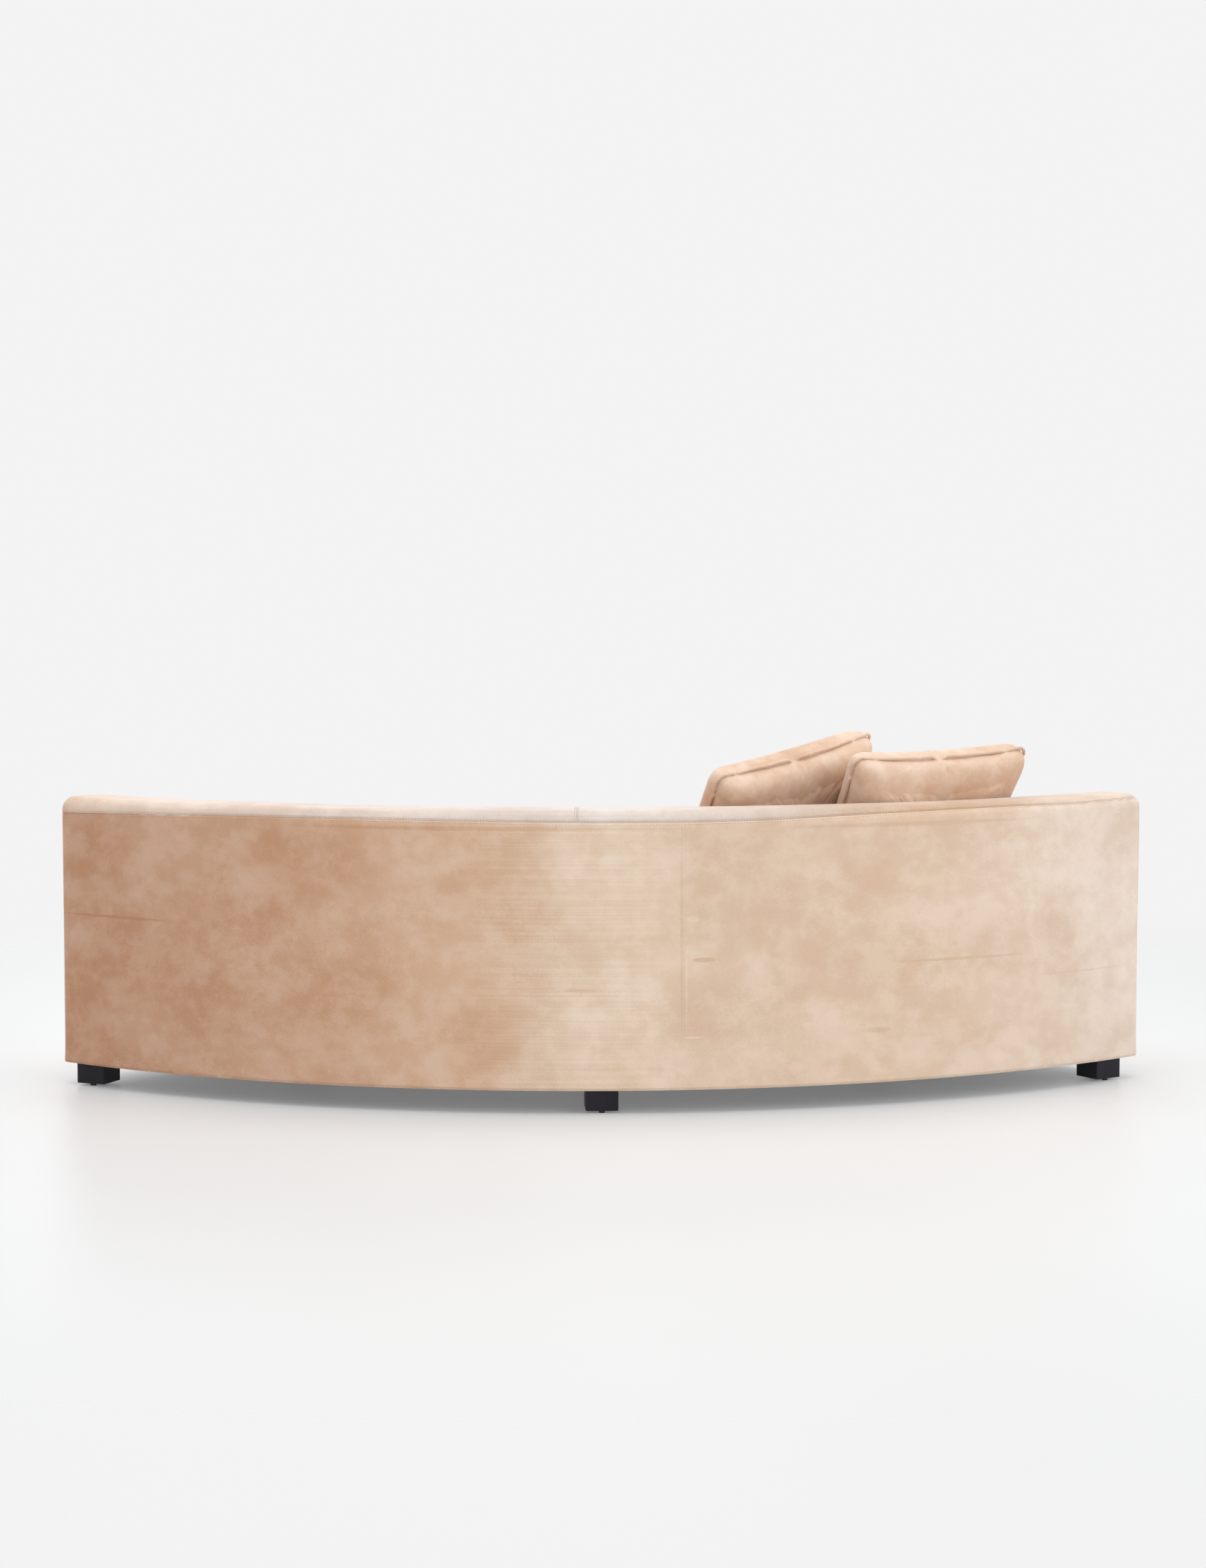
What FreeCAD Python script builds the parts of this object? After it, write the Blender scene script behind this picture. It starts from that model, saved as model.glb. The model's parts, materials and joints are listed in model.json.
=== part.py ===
# A curved sofa with a low back that runs round the whole outer arc, open ends,
# two loose curved seat cushions and two loose pillows.
#
# Every fixed piece is laid out in rings about one vertical axis, the arc axis. It stands
# on the floor in front of the sofa, on the side where people sit. A place is given by its
# radius from that axis, its angle from straight back (+Y) towards +X, and its height.
# The row frame has the sitter facing -Y, +Z up, and its origin on the floor under the
# middle of the sofa's bounding box. Lengths are in millimetres and angles in degrees.

import FreeCAD, Part
import math
import os

Vector = FreeCAD.Vector

# Overall form
BACK_RADIUS = 2200.0  # finished outside back
RADIAL_DEPTH = 910.0  # front border to outside back, along a radius
HALF_ANGLE = 39.6
FOOT_HEIGHT = 54.0
GLIDE_HEIGHT = 6.0
TOP_HEIGHT = 743.0
DECK_HEIGHT = 280.0
BACK_WIDTH_TOP = 146.0  # width of the back where its faces would meet the top
BACK_WIDTH_DECK = 235.0
SHOULDER_RADIUS = 34.0  # rounding along both edges of the top
DECK_EDGE_RADIUS = 26.0
CROTCH_RADIUS = 20.0  # hollow rounding where the deck meets the inside back
END_RADIUS = 22.0  # rounding of the upright corners at the two ends

# Layers, from the outside in
COVER = 2.5
BACK_PAD = 12.5
FRONT_PAD = 11.5
END_PAD = 12.0
DECK_FOAM = 15.0
INSIDE_FOAM = 45.0
TOP_FOAM = 27.5
FELT = 3.0
WEBBING = 2.0
HARDBOARD = 3.0
FRONT_PLY = 8.0
PLY = 18.0
DUST_CLOTH = 1.0
SPRING_CLEARANCE = 2.5  # from the spring clips up to the felt

# Frame
SILL_WIDTH = 85.0
SEAT_RAIL_WIDTH = 60.0
BACK_RAIL_WIDTH = 45.0
BACK_RAIL_LIFT = 20.0  # back rail above the seat rails
SEAT_RAIL_SETBACK = 12.0  # clear space between the rear seat rail and the uprights
RIB_PAIRS = 3  # ribs on each side of the middle, which stays free for the centre feet's bolts
SPLICE_LENGTH = 180.0
SCREW_RADIUS = 2.0
SCREW_HEAD_RADIUS = 4.0
SCREW_HEAD_HEIGHT = 2.5
SCREW_LENGTH = 45.0

# Springs
SPRING_COUNT = 14
SPRING_WIRE_RADIUS = 1.9
SPRING_LEG = 26.0
SPRING_BENDS = 18
SPRING_END_MARGIN = 16.0  # last leg in from the rail's inner edge
CLIP_LENGTH = 22.0
CLIP_WIDTH = 12.0
CLIP_FLOOR = 1.2  # plastic under the wire
CLIP_ROOF = 4.0

# Webbing
STRAP_WIDTH = 50.0
STRAPS_PER_BAY = 2

# Seams
SEAM_DROP = 27.0  # top band's seam below the top
END_SEAM_INSET = 11.0
BAND_JOINT_ANGLE = 2.8

# Feet
FOOT_SIDE = 80.0
FOOT_CHAMFER = 1.5
FOOT_SETBACK = 14.0  # foot's face in from the finished cover
FOOT_END_SETBACK = {"left": 58.0, "right": 38.0}  # foot's side in from each end of the sofa
CENTRE_FOOT_ANGLE = 0.6
# Each foot turns freely on its bolt until it is tight, so none ends up quite square to the arc.
FOOT_TWIST = {"back_right": 13.0, "back_centre": 2.0, "back_left": -6.0}
GLIDE_RADIUS = 7.5
GLIDE_SETBACK = 14.0  # glide's middle in from the foot's face
BOLT_RADIUS = 4.0
BOLT_IN_FOOT = 36.0
BOLT_ABOVE_SILL = 12.0
T_NUT_WALL = 1.5
T_NUT_LIP = 5.5
T_NUT_FLANGE = 1.5

# Seat cushions
CUSHION_GAP = 4.0  # between the two cushions
CUSHION_END_SETBACK = 6.0
CUSHION_BACK_CLEARANCE = 8.0
CUSHION_FRONT_OVERHANG = 3.0
CUSHION_THICKNESS = 124.0
CUSHION_CROWN = 22.0
CUSHION_END_CROWN = 1.0
CUSHION_BULGE = 7.0  # how far the boxing swells
CUSHION_CORNER = 14.0  # how far a cushion's front and back draw in at its ends
CUSHION_CORNER_SHARE = 0.05  # of the cushion's sweep, taken by each drawn-in end
CUSHION_CROWN_SHARE = 0.38  # of the sweep, over which the crown rises from each end
CUSHION_STATIONS = [0.0, 0.0125, 0.03, 0.06, 0.11, 0.18, 0.27, 0.38]  # sections from each end, as shares
REST_CLEARANCE = 0.5  # between loose pieces and what they rest on
ZIP_HEIGHT = 24.0
ZIP_THICKNESS = 1.2
ZIP_END_MARGIN = 5.0  # degrees
SLIDER_HEIGHT = 9.0
SLIDER_LENGTH = 15.0
SLIDER_THICKNESS = 4.0
SLIDER_CLEARANCE = 0.4
TAB_LENGTH = 24.0
TAB_WIDTH = 5.0

# Pillows
PILLOW_SIDE = 505.0
PILLOW_THICKNESS = 168.0
PILLOW_DRAW = 16.0  # how far each side draws in between its corners
PILLOW_CORNER = 34.0
PILLOW_ROUNDING = 0.5  # corner radius at the crown, as a share of its contour's half width
PILLOW_FULLNESS = 3.0  # power of the profile from rim to crown: 2 is an ellipse, more is plumper
PILLOW_STATIONS = [0, 4, 12, 26, 45, 66, 82]  # degrees round a quarter of that profile, from the rim
PIPING_RADIUS = 4.0
PIPING_GAP = 0.1  # between the cord and the pillow's rim
# Each pillow's angle in from the -X end, its turn about the vertical from the local radius, its lean,
# its roll in its own plane, the height of its lowest corner above the cushion's edge in crowns, and
# how far its middle plane stands off the back's inner edge, in half thicknesses.
PILLOW_PLACES = {
    "pillow_outer": (14.73, 0.0, 34.6, 1.7, 1.305, 0.90),
    "pillow_inner": (26.0, -28.5, 38.3, 13.4, 0.995, 1.93),
}

# Worked out from the values above
FRONT_RADIUS = BACK_RADIUS - RADIAL_DEPTH
BASE_HEIGHT = FOOT_HEIGHT + GLIDE_HEIGHT
SILL_TOP = BASE_HEIGHT + DUST_CLOTH + PLY
END_STACK = COVER + END_PAD
FRAME_BACK = BACK_RADIUS - COVER - BACK_PAD - HARDBOARD
FRAME_FRONT = FRONT_RADIUS + COVER + FRONT_PAD + FRONT_PLY
FRAME_TOP = TOP_HEIGHT - COVER - TOP_FOAM
FELT_TOP = DECK_HEIGHT - COVER - DECK_FOAM
CLIP_HEIGHT = CLIP_FLOOR + 2 * SPRING_WIRE_RADIUS + CLIP_ROOF
SEAT_RAIL_TOP = FELT_TOP - FELT - SPRING_CLEARANCE - CLIP_HEIGHT
RIB_SEAT_TOP = SEAT_RAIL_TOP - PLY
SEAM_HEIGHT = TOP_HEIGHT - SEAM_DROP
RIB_COUNT = 2 * RIB_PAIRS
BAY = 2 * HALF_ANGLE / (RIB_COUNT + 1)
SILL_JOINT = BAY  # half way between two ribs
BACK_SLOPE = (BACK_WIDTH_DECK - BACK_WIDTH_TOP) / (TOP_HEIGHT - DECK_HEIGHT)
LEAN_LENGTH = math.hypot(1, BACK_SLOPE)
MID_RADIUS = (FRONT_RADIUS + BACK_RADIUS) / 2
PIPING_OUT = PIPING_RADIUS + PIPING_GAP  # cord's middle out from the pillow's rim

# The foremost points are on the rounded corners at the front of both ends. The arc axis
# stands so far in front of the origin that the plan's bounding box is centred on it.
HALF_TURN = math.radians(HALF_ANGLE)
CORNER_OUT = math.sqrt((FRONT_RADIUS + END_RADIUS) ** 2 - END_RADIUS**2)
FRONT_REACH = CORNER_OUT * math.cos(HALF_TURN) + END_RADIUS * (math.sin(HALF_TURN) - 1)
AXIS_Y = -(BACK_RADIUS + FRONT_REACH) / 2

UP = Vector(0, 0, 1)
AXIS_POINT = Vector(0, AXIS_Y, 0)
REACH = 3000.0  # larger than the sofa, for cutting tools
HUB = 1.0  # inner radius of the rings used as cutting tools
PAST_END = HALF_ANGLE + 1.0  # rings are turned a little too far, then trimmed
CLOSE = 0.01  # distance within which two points count as one
SIDES = {"left": -1, "right": 1}
parts = {}


# Places and directions
def outward(angle):
    """Unit vector from the arc axis towards the back at an angle."""
    turn = math.radians(angle)
    return Vector(math.sin(turn), math.cos(turn), 0)


def along(angle):
    """Unit vector along the arc, towards growing angles."""
    turn = math.radians(angle)
    return Vector(math.cos(turn), -math.sin(turn), 0)


def place(radius, angle, height):
    return AXIS_POINT + outward(angle) * radius + UP * height


def inner_line(height, inset=0.0):
    """Radius of the inside back at a height, or of a face that lies inset behind it."""
    rise = TOP_HEIGHT - height
    return BACK_RADIUS - BACK_WIDTH_TOP - rise * BACK_SLOPE + inset * LEAN_LENGTH


# Shapes
def profile_face(corners, angle=0.0):
    """A face in the radial plane at an angle. Corners are (radius, height) or (radius, height, rounding)."""
    points = [place(c[0], angle, c[1]) for c in corners]
    roundings = [c[2] if len(c) > 2 else 0.0 for c in corners]
    edges, starts, ends, arcs = [], [], [], []
    for i, corner in enumerate(points):
        before, after = points[i - 1], points[(i + 1) % len(points)]
        to_before, to_after = (before - corner).normalize(), (after - corner).normalize()
        turn = to_before.getAngle(to_after)
        reach = roundings[i] / math.tan(turn / 2)
        start, end = corner + to_before * reach, corner + to_after * reach
        arc = None
        if roundings[i] > 0:
            bisector = (to_before + to_after).normalize()
            centre = corner + bisector * (roundings[i] / math.sin(turn / 2))
            arc = Part.Arc(start, centre - bisector * roundings[i], end).toShape()
        starts.append(start)
        ends.append(end)
        arcs.append(arc)
    for i in range(len(points)):
        if arcs[i] is not None:
            edges.append(arcs[i])
        following = starts[(i + 1) % len(points)]
        if (following - ends[i]).Length > CLOSE:
            edges.append(Part.LineSegment(ends[i], following).toShape())
    return Part.Face(Part.Wire(Part.__sortEdges__(edges)))


def ring(corners, first=-PAST_END, last=PAST_END):
    """A profile turned about the arc axis between two angles."""
    return profile_face(corners, last).revolve(AXIS_POINT, UP, last - first)


def band(inner, outer, low, high, first=-PAST_END, last=PAST_END):
    """A ring with an upright rectangular section."""
    return ring([(inner, low), (outer, low), (outer, high), (inner, high)], first, last)


def end_frame(side):
    """Inward normal of the end plane on one side."""
    return along(side * HALF_ANGLE) * -side


def between_ends(inset):
    """A wedge that holds everything more than inset inside both end planes."""
    tip = AXIS_POINT + Vector(0, inset / math.sin(HALF_TURN), 0)
    left, right = (tip + outward(side * HALF_ANGLE) * REACH for side in (-1, 1))
    outline = [corner - UP * REACH for corner in (tip, left, tip + outward(0) * 2 * REACH, right, tip)]
    return Part.Face(Part.makePolygon(outline)).extrude(UP * 2 * REACH)


def fitted(shape, inset):
    return shape.common(between_ends(inset)).removeSplitter()


def end_slab(corners, side, inset, thickness):
    """A plate of a profile's outline that stands parallel to an end plane."""
    face = profile_face(corners, side * HALF_ANGLE)
    normal = end_frame(side)
    face.translate(normal * inset)
    return face.extrude(normal * thickness)


def bar(middle, length_along, length_out, low, high, angle):
    """An upright block whose sides lie along and across the arc at an angle."""
    block = Part.makeBox(length_along, length_out, high - low)
    block.translate(Vector(-length_along / 2, -length_out / 2, low))
    block.rotate(Vector(0, 0, 0), UP, -angle)
    block.translate(Vector(middle.x, middle.y, 0))
    return block


def group(shapes):
    return Part.makeCompound(shapes)


def add(name, shape):
    parts[name] = shape


# Upholstered form
def form_corners(cover, floor):
    """The sofa's section without its cushions, drawn cover inside the finished surface."""
    return [
        (FRONT_RADIUS + cover, floor),
        (FRONT_RADIUS + cover, DECK_HEIGHT - cover, DECK_EDGE_RADIUS - cover),
        (inner_line(DECK_HEIGHT - cover, cover), DECK_HEIGHT - cover, CROTCH_RADIUS + cover),
        (inner_line(TOP_HEIGHT - cover, cover), TOP_HEIGHT - cover, SHOULDER_RADIUS - cover),
        (BACK_RADIUS - cover, TOP_HEIGHT - cover, SHOULDER_RADIUS - cover),
        (BACK_RADIUS - cover, floor),
    ]


def form(cover, floor):
    """The upholstered body as one solid, with the corners of both ends rounded."""
    body = fitted(ring(form_corners(cover, floor)), cover)
    rim = []
    for side in (-1, 1):
        normal = end_frame(side)
        origin = AXIS_POINT + normal * cover
        for edge in body.Edges:
            middle = edge.valueAt((edge.FirstParameter + edge.LastParameter) / 2)
            in_end = all(abs((p - origin).dot(normal)) < CLOSE for p in (middle, edge.Vertexes[0].Point))
            if in_end and middle.z > floor + CLOSE:
                rim.append(edge)
    return body.makeFillet(END_RADIUS - cover, rim)


def make_covers():
    shell = form(0.0, BASE_HEIGHT).cut(form(COVER, BASE_HEIGHT - PLY))
    middle = shell.common(between_ends(END_SEAM_INSET))
    deck_front = FRONT_RADIUS + DECK_EDGE_RADIUS
    deck_back = inner_line(DECK_HEIGHT) - CROTCH_RADIUS
    outside = BACK_RADIUS - SHOULDER_RADIUS
    everywhere = (0.0, REACH)
    panels = {
        "front_border": band(HUB, deck_front, *everywhere),
        "deck_cover": band(deck_front, deck_back, *everywhere),
        "inside_back_cover": band(deck_back, outside, 0.0, SEAM_HEIGHT),
        "outside_back_cover": band(outside, REACH, 0.0, SEAM_HEIGHT),
        "top_band_left": band(deck_back, REACH, SEAM_HEIGHT, REACH, last=BAND_JOINT_ANGLE),
        "top_band_right": band(deck_back, REACH, SEAM_HEIGHT, REACH, first=BAND_JOINT_ANGLE),
    }
    for name, region in panels.items():
        add(name, middle.common(region))
    for name, side in SIDES.items():
        half = band(HUB, REACH, 0.0, REACH, *sorted((0.0, side * PAST_END)))
        add(f"end_cover_{name}", shell.common(half).cut(between_ends(END_SEAM_INSET)))


def make_padding():
    """Foam and wadding between the covers and the frame, clipped to the covers' inner face."""
    inside = form(COVER, BASE_HEIGHT - PLY)
    floor = BASE_HEIGHT + DUST_CLOTH
    hard_back = FRAME_BACK + HARDBOARD
    front = FRONT_RADIUS + COVER
    far = BACK_RADIUS
    soft = {
        "back_padding": band(hard_back, far, floor, FRAME_TOP),
        "front_padding": band(front, FRAME_FRONT - FRONT_PLY, floor, FELT_TOP),
        "deck_foam": ring([
            (front, FELT_TOP),
            (inner_line(FELT_TOP, COVER), FELT_TOP),
            (inner_line(DECK_HEIGHT - COVER, COVER), DECK_HEIGHT - COVER),
            (front, DECK_HEIGHT - COVER),
        ]),
        "inside_back_foam": ring([
            (inner_line(FELT_TOP, COVER), FELT_TOP),
            (inner_line(FELT_TOP, COVER + INSIDE_FOAM), FELT_TOP),
            (inner_line(FRAME_TOP, COVER + INSIDE_FOAM), FRAME_TOP),
            (inner_line(FRAME_TOP, COVER), FRAME_TOP),
        ]),
        "top_foam": band(inner_line(FRAME_TOP), far, FRAME_TOP, TOP_HEIGHT),
    }
    for name, shape in soft.items():
        add(name, fitted(shape, END_STACK).common(inside))
    outline = form_corners(COVER, floor)
    pads = [end_slab(outline, side, COVER, END_PAD).common(inside) for side in SIDES.values()]
    add("end_padding", group(pads))
    add("seat_felt", fitted(band(FRAME_FRONT - FRONT_PLY, inner_line(FELT_TOP, COVER + INSIDE_FOAM),
                                 FELT_TOP - FELT, FELT_TOP), END_STACK))


# Frame
def rib_angles():
    return [-HALF_ANGLE + BAY * (i + 1) for i in range(RIB_COUNT)]


def frame_line(height):
    """Radius of the uprights' front edge."""
    return inner_line(height, COVER + INSIDE_FOAM + WEBBING)


def make_frame():
    wood_end = END_STACK + PLY
    sill_low = BASE_HEIGHT + DUST_CLOTH
    lengths = ((-PAST_END, SILL_JOINT), (SILL_JOINT, PAST_END))
    sills = {
        "sill_back": (FRAME_BACK - SILL_WIDTH, FRAME_BACK),
        "sill_front": (FRAME_FRONT, FRAME_FRONT + SILL_WIDTH),
    }
    splices = []
    for name, (near, far) in sills.items():
        halves = [fitted(band(near, far, sill_low, SILL_TOP, *span), wood_end) for span in lengths]
        add(name, group(halves))
        spread = math.degrees(SPLICE_LENGTH / 2 / near)
        splices.append(band(near, far, SILL_TOP, SILL_TOP + PLY, SILL_JOINT - spread, SILL_JOINT + spread))
    add("sill_splices", group(splices))

    rib_top = FRAME_TOP - PLY
    rib_outline = [
        (FRAME_FRONT, SILL_TOP),
        (FRAME_FRONT, RIB_SEAT_TOP),
        (frame_line(RIB_SEAT_TOP), RIB_SEAT_TOP),
        (frame_line(rib_top), rib_top),
        (FRAME_BACK, rib_top),
        (FRAME_BACK, SILL_TOP),
    ]
    back_rail_low = SEAT_RAIL_TOP + BACK_RAIL_LIFT
    back_rail_high = back_rail_low + PLY
    back_rail = fitted(ring([
        (frame_line(back_rail_low), back_rail_low),
        (frame_line(back_rail_high), back_rail_high),
        (frame_line(back_rail_high) + BACK_RAIL_WIDTH, back_rail_high),
        (frame_line(back_rail_high) + BACK_RAIL_WIDTH, back_rail_low),
    ]), wood_end)
    add("back_rail", back_rail)
    add("top_rail", fitted(ring([
        (frame_line(rib_top), rib_top),
        (frame_line(FRAME_TOP), FRAME_TOP),
        (FRAME_BACK, FRAME_TOP),
        (FRAME_BACK, rib_top),
    ]), wood_end))
    rear = frame_line(RIB_SEAT_TOP) - SEAT_RAIL_SETBACK
    add("seat_rail_front", fitted(band(FRAME_FRONT, FRAME_FRONT + SEAT_RAIL_WIDTH,
                                       RIB_SEAT_TOP, SEAT_RAIL_TOP), wood_end))
    add("seat_rail_back", fitted(band(rear - SEAT_RAIL_WIDTH, rear, RIB_SEAT_TOP, SEAT_RAIL_TOP), wood_end))

    for number, angle in enumerate(rib_angles(), 1):
        plate = profile_face(rib_outline, angle)
        plate.translate(along(angle) * (-PLY / 2))
        plate = plate.extrude(along(angle) * PLY)
        # The sheets that wrap the frame are round and the rib is flat, so its edges are eased to suit.
        plate = plate.common(band(FRAME_FRONT, FRAME_BACK, 0.0, REACH))
        add(f"rib_{number}", plate.cut(back_rail))

    floor = BASE_HEIGHT + DUST_CLOTH
    board_outline = [
        (FRAME_FRONT, floor),
        (FRAME_FRONT, FELT_TOP - FELT),
        (frame_line(FELT_TOP - FELT), FELT_TOP - FELT),
        (frame_line(FRAME_TOP), FRAME_TOP),
        (FRAME_BACK, FRAME_TOP),
        (FRAME_BACK, floor),
    ]
    for name, side in SIDES.items():
        board = end_slab(board_outline, side, END_STACK, PLY)
        add(f"end_board_{name}", board.common(band(FRAME_FRONT, FRAME_BACK, 0.0, REACH)))
    add("front_board", fitted(band(FRAME_FRONT - FRONT_PLY, FRAME_FRONT, floor, FELT_TOP - FELT), END_STACK))
    add("back_board", fitted(band(FRAME_BACK, FRAME_BACK + HARDBOARD, floor, FRAME_TOP), END_STACK))


def screw(point, direction):
    """A countersunk wood screw whose head is flush at a point."""
    head = Part.makeCone(SCREW_HEAD_RADIUS, SCREW_RADIUS, SCREW_HEAD_HEIGHT, point, direction)
    shank = Part.makeCylinder(SCREW_RADIUS, SCREW_LENGTH, point, direction)
    return head.fuse(shank).removeSplitter()


def make_screws():
    """Screws through the sills and the top rail into each rib, and in through the end boards."""
    sill_low = BASE_HEIGHT + DUST_CLOTH
    near_sill = FRAME_FRONT + SILL_WIDTH / 2
    far_sill = FRAME_BACK - SILL_WIDTH / 2
    screws = []
    for angle in rib_angles():
        screws += [screw(place(radius, angle, sill_low), UP) for radius in (near_sill, far_sill)]
        screws.append(screw(place(far_sill, angle, FRAME_TOP), -UP))
    for side in SIDES.values():
        inward = end_frame(side)
        for radius, height in (
            (near_sill, SILL_TOP - PLY / 2),
            (far_sill, SILL_TOP - PLY / 2),
            (far_sill, FRAME_TOP - PLY / 2),
            (FRAME_FRONT + SEAT_RAIL_WIDTH / 2, SEAT_RAIL_TOP - PLY / 2),
        ):
            screws.append(screw(place(radius, side * HALF_ANGLE, height) + inward * END_STACK, inward))
    add("frame_screws", group(screws))
    drill("frame_screws", [
        "sill_back", "sill_front", "top_rail", "seat_rail_front", "end_board_left", "end_board_right",
    ] + [f"rib_{n + 1}" for n in range(RIB_COUNT)])


def drill(tool, names):
    """Cuts a group's solids out of the pieces that they pass through."""
    for name in names:
        for piece in parts[tool].Solids:
            if piece.BoundBox.intersect(parts[name].BoundBox):
                parts[name] = parts[name].cut(piece)


# Springs and webbing
def spring(angle, near, far, height):
    """A flat zigzag spring that lies along a radius, its legs along the arc."""
    pitch = (far - near) / SPRING_BENDS
    half = SPRING_LEG / 2
    edges = []

    def spot(out, across):
        return AXIS_POINT + outward(angle) * (near + out) + along(angle) * across + UP * height

    for leg in range(SPRING_BENDS + 1):
        way = 1 if leg % 2 == 0 else -1
        start, end = spot(leg * pitch, -way * half), spot(leg * pitch, way * half)
        edges.append(Part.LineSegment(start, end).toShape())
        if leg < SPRING_BENDS:
            crest = spot((leg + 0.5) * pitch, way * (half + pitch / 2))
            edges.append(Part.Arc(end, crest, spot((leg + 1) * pitch, way * half)).toShape())
    path = Part.Wire(edges)
    start = edges[0].valueAt(edges[0].FirstParameter)
    section = Part.Wire(Part.makeCircle(SPRING_WIRE_RADIUS, start, along(angle)))
    return path.makePipeShell([section], True, False)


def make_springs():
    height = SEAT_RAIL_TOP + CLIP_FLOOR + SPRING_WIRE_RADIUS
    near = FRAME_FRONT + SEAT_RAIL_WIDTH - SPRING_END_MARGIN
    rear_rail = frame_line(RIB_SEAT_TOP) - SEAT_RAIL_SETBACK - SEAT_RAIL_WIDTH
    far = rear_rail + SPRING_END_MARGIN
    step = 2 * HALF_ANGLE / (SPRING_COUNT + 1)
    springs, clips = [], []
    for number in range(SPRING_COUNT):
        angle = -HALF_ANGLE + step * (number + 1)
        wire = spring(angle, near, far, height)
        springs.append(wire)
        for radius in (near, far):
            middle = place(radius, angle, 0)
            block = bar(middle, CLIP_LENGTH, CLIP_WIDTH, SEAT_RAIL_TOP, SEAT_RAIL_TOP + CLIP_HEIGHT, angle)
            hole = Part.makeCylinder(SPRING_WIRE_RADIUS, 2 * CLIP_LENGTH,
                                     place(radius, angle, height) - along(angle) * CLIP_LENGTH, along(angle))
            clips.append(block.cut(hole))
    add("seat_springs", group(springs))
    add("spring_clips", group(clips))


def make_webbing():
    low = SEAT_RAIL_TOP + BACK_RAIL_LIFT
    straps = []
    front = COVER + INSIDE_FOAM
    half = math.degrees(STRAP_WIDTH / 2 / BACK_RADIUS)
    for bay in range(RIB_COUNT + 1):
        for number in range(STRAPS_PER_BAY):
            angle = -HALF_ANGLE + BAY * (bay + (number + 1) / (STRAPS_PER_BAY + 1))
            straps.append(ring([
                (inner_line(low, front), low),
                (inner_line(low, front + WEBBING), low),
                (inner_line(FRAME_TOP, front + WEBBING), FRAME_TOP),
                (inner_line(FRAME_TOP, front), FRAME_TOP),
            ], angle - half, angle + half))
    add("back_webbing", group(straps))


# Feet
def foot_places():
    """Name, middle and facing angle of each foot."""
    inward = FOOT_SETBACK + FOOT_SIDE / 2
    rows = {"back": BACK_RADIUS - inward, "front": FRONT_RADIUS + inward}
    found = []
    for row, radius in rows.items():
        found.append((f"{row}_centre", place(radius, CENTRE_FOOT_ANGLE, 0), CENTRE_FOOT_ANGLE))
        for column, side in SIDES.items():
            inset = FOOT_END_SETBACK[column] + FOOT_SIDE / 2
            along_end = math.sqrt(radius**2 - inset**2)
            middle = AXIS_POINT + outward(side * HALF_ANGLE) * along_end + end_frame(side) * inset
            offset = middle - AXIS_POINT
            found.append((f"{row}_{column}", middle, math.degrees(math.atan2(offset.x, offset.y))))
    return found


def make_feet():
    glides, bolts, nuts = [], [], []
    sill_low = BASE_HEIGHT + DUST_CLOTH
    bolt_low = BASE_HEIGHT - BOLT_IN_FOOT
    bolt_length = SILL_TOP + BOLT_ABOVE_SILL - bolt_low
    for name, middle, angle in foot_places():
        turn = angle - FOOT_TWIST.get(name, 0.0)
        block = bar(middle, FOOT_SIDE, FOOT_SIDE, GLIDE_HEIGHT, BASE_HEIGHT, turn)
        low_edges = [e for e in block.Edges if e.BoundBox.ZMin < BASE_HEIGHT - CLOSE]
        block = block.makeChamfer(FOOT_CHAMFER, low_edges)
        bolts.append(Part.makeCylinder(BOLT_RADIUS, bolt_length, middle + UP * bolt_low))
        barrel = Part.makeCylinder(BOLT_RADIUS + T_NUT_WALL, PLY, middle + UP * sill_low)
        flange = Part.makeCylinder(BOLT_RADIUS + T_NUT_WALL + T_NUT_LIP, T_NUT_FLANGE, middle + UP * SILL_TOP)
        nuts.append(barrel.fuse(flange).removeSplitter())
        reach = FOOT_SIDE / 2 - GLIDE_SETBACK
        for way in (-1, 1):
            spot = middle + outward(turn) * (way * reach)
            glides.append(Part.makeCylinder(GLIDE_RADIUS, GLIDE_HEIGHT, spot))
        add(f"foot_{name}", block)
    add("foot_glides", group(glides))
    add("leg_bolts", group(bolts))
    add("leg_t_nuts", group(nuts))
    floor_cloth = band(FRONT_RADIUS + COVER, BACK_RADIUS - COVER, BASE_HEIGHT, sill_low)
    add("dust_cover", fitted(floor_cloth, COVER).common(form(COVER, BASE_HEIGHT - PLY)))
    drill("leg_t_nuts", ["sill_back", "sill_front"])
    drill("leg_bolts", ["leg_t_nuts", "dust_cover"] + [f"foot_{p[0]}" for p in foot_places()])


# Loose seat cushions
def cushion_section(angle, draw, crown, skin):
    """One section of a cushion: flat below, swelling boxing, crowned top. draw narrows it front and back."""
    near = FRONT_RADIUS - CUSHION_FRONT_OVERHANG + CUSHION_BULGE + draw + skin
    far = inner_line(DECK_HEIGHT) - CUSHION_BACK_CLEARANCE - CUSHION_BULGE - draw - skin
    low = DECK_HEIGHT + REST_CLEARANCE + skin
    high = DECK_HEIGHT + REST_CLEARANCE + CUSHION_THICKNESS - skin
    middle = (low + high) / 2
    rectangle = [(near, low), (far, low), (far, high), (near, high)]
    corners = [place(radius, angle, height) for radius, height in rectangle]
    return Part.Wire([
        Part.LineSegment(corners[0], corners[1]).toShape(),
        Part.Arc(corners[1], place(far + CUSHION_BULGE, angle, middle), corners[2]).toShape(),
        Part.Arc(corners[2], place((near + far) / 2, angle, high + crown), corners[3]).toShape(),
        Part.Arc(corners[3], place(near - CUSHION_BULGE, angle, middle), corners[0]).toShape(),
    ])


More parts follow.
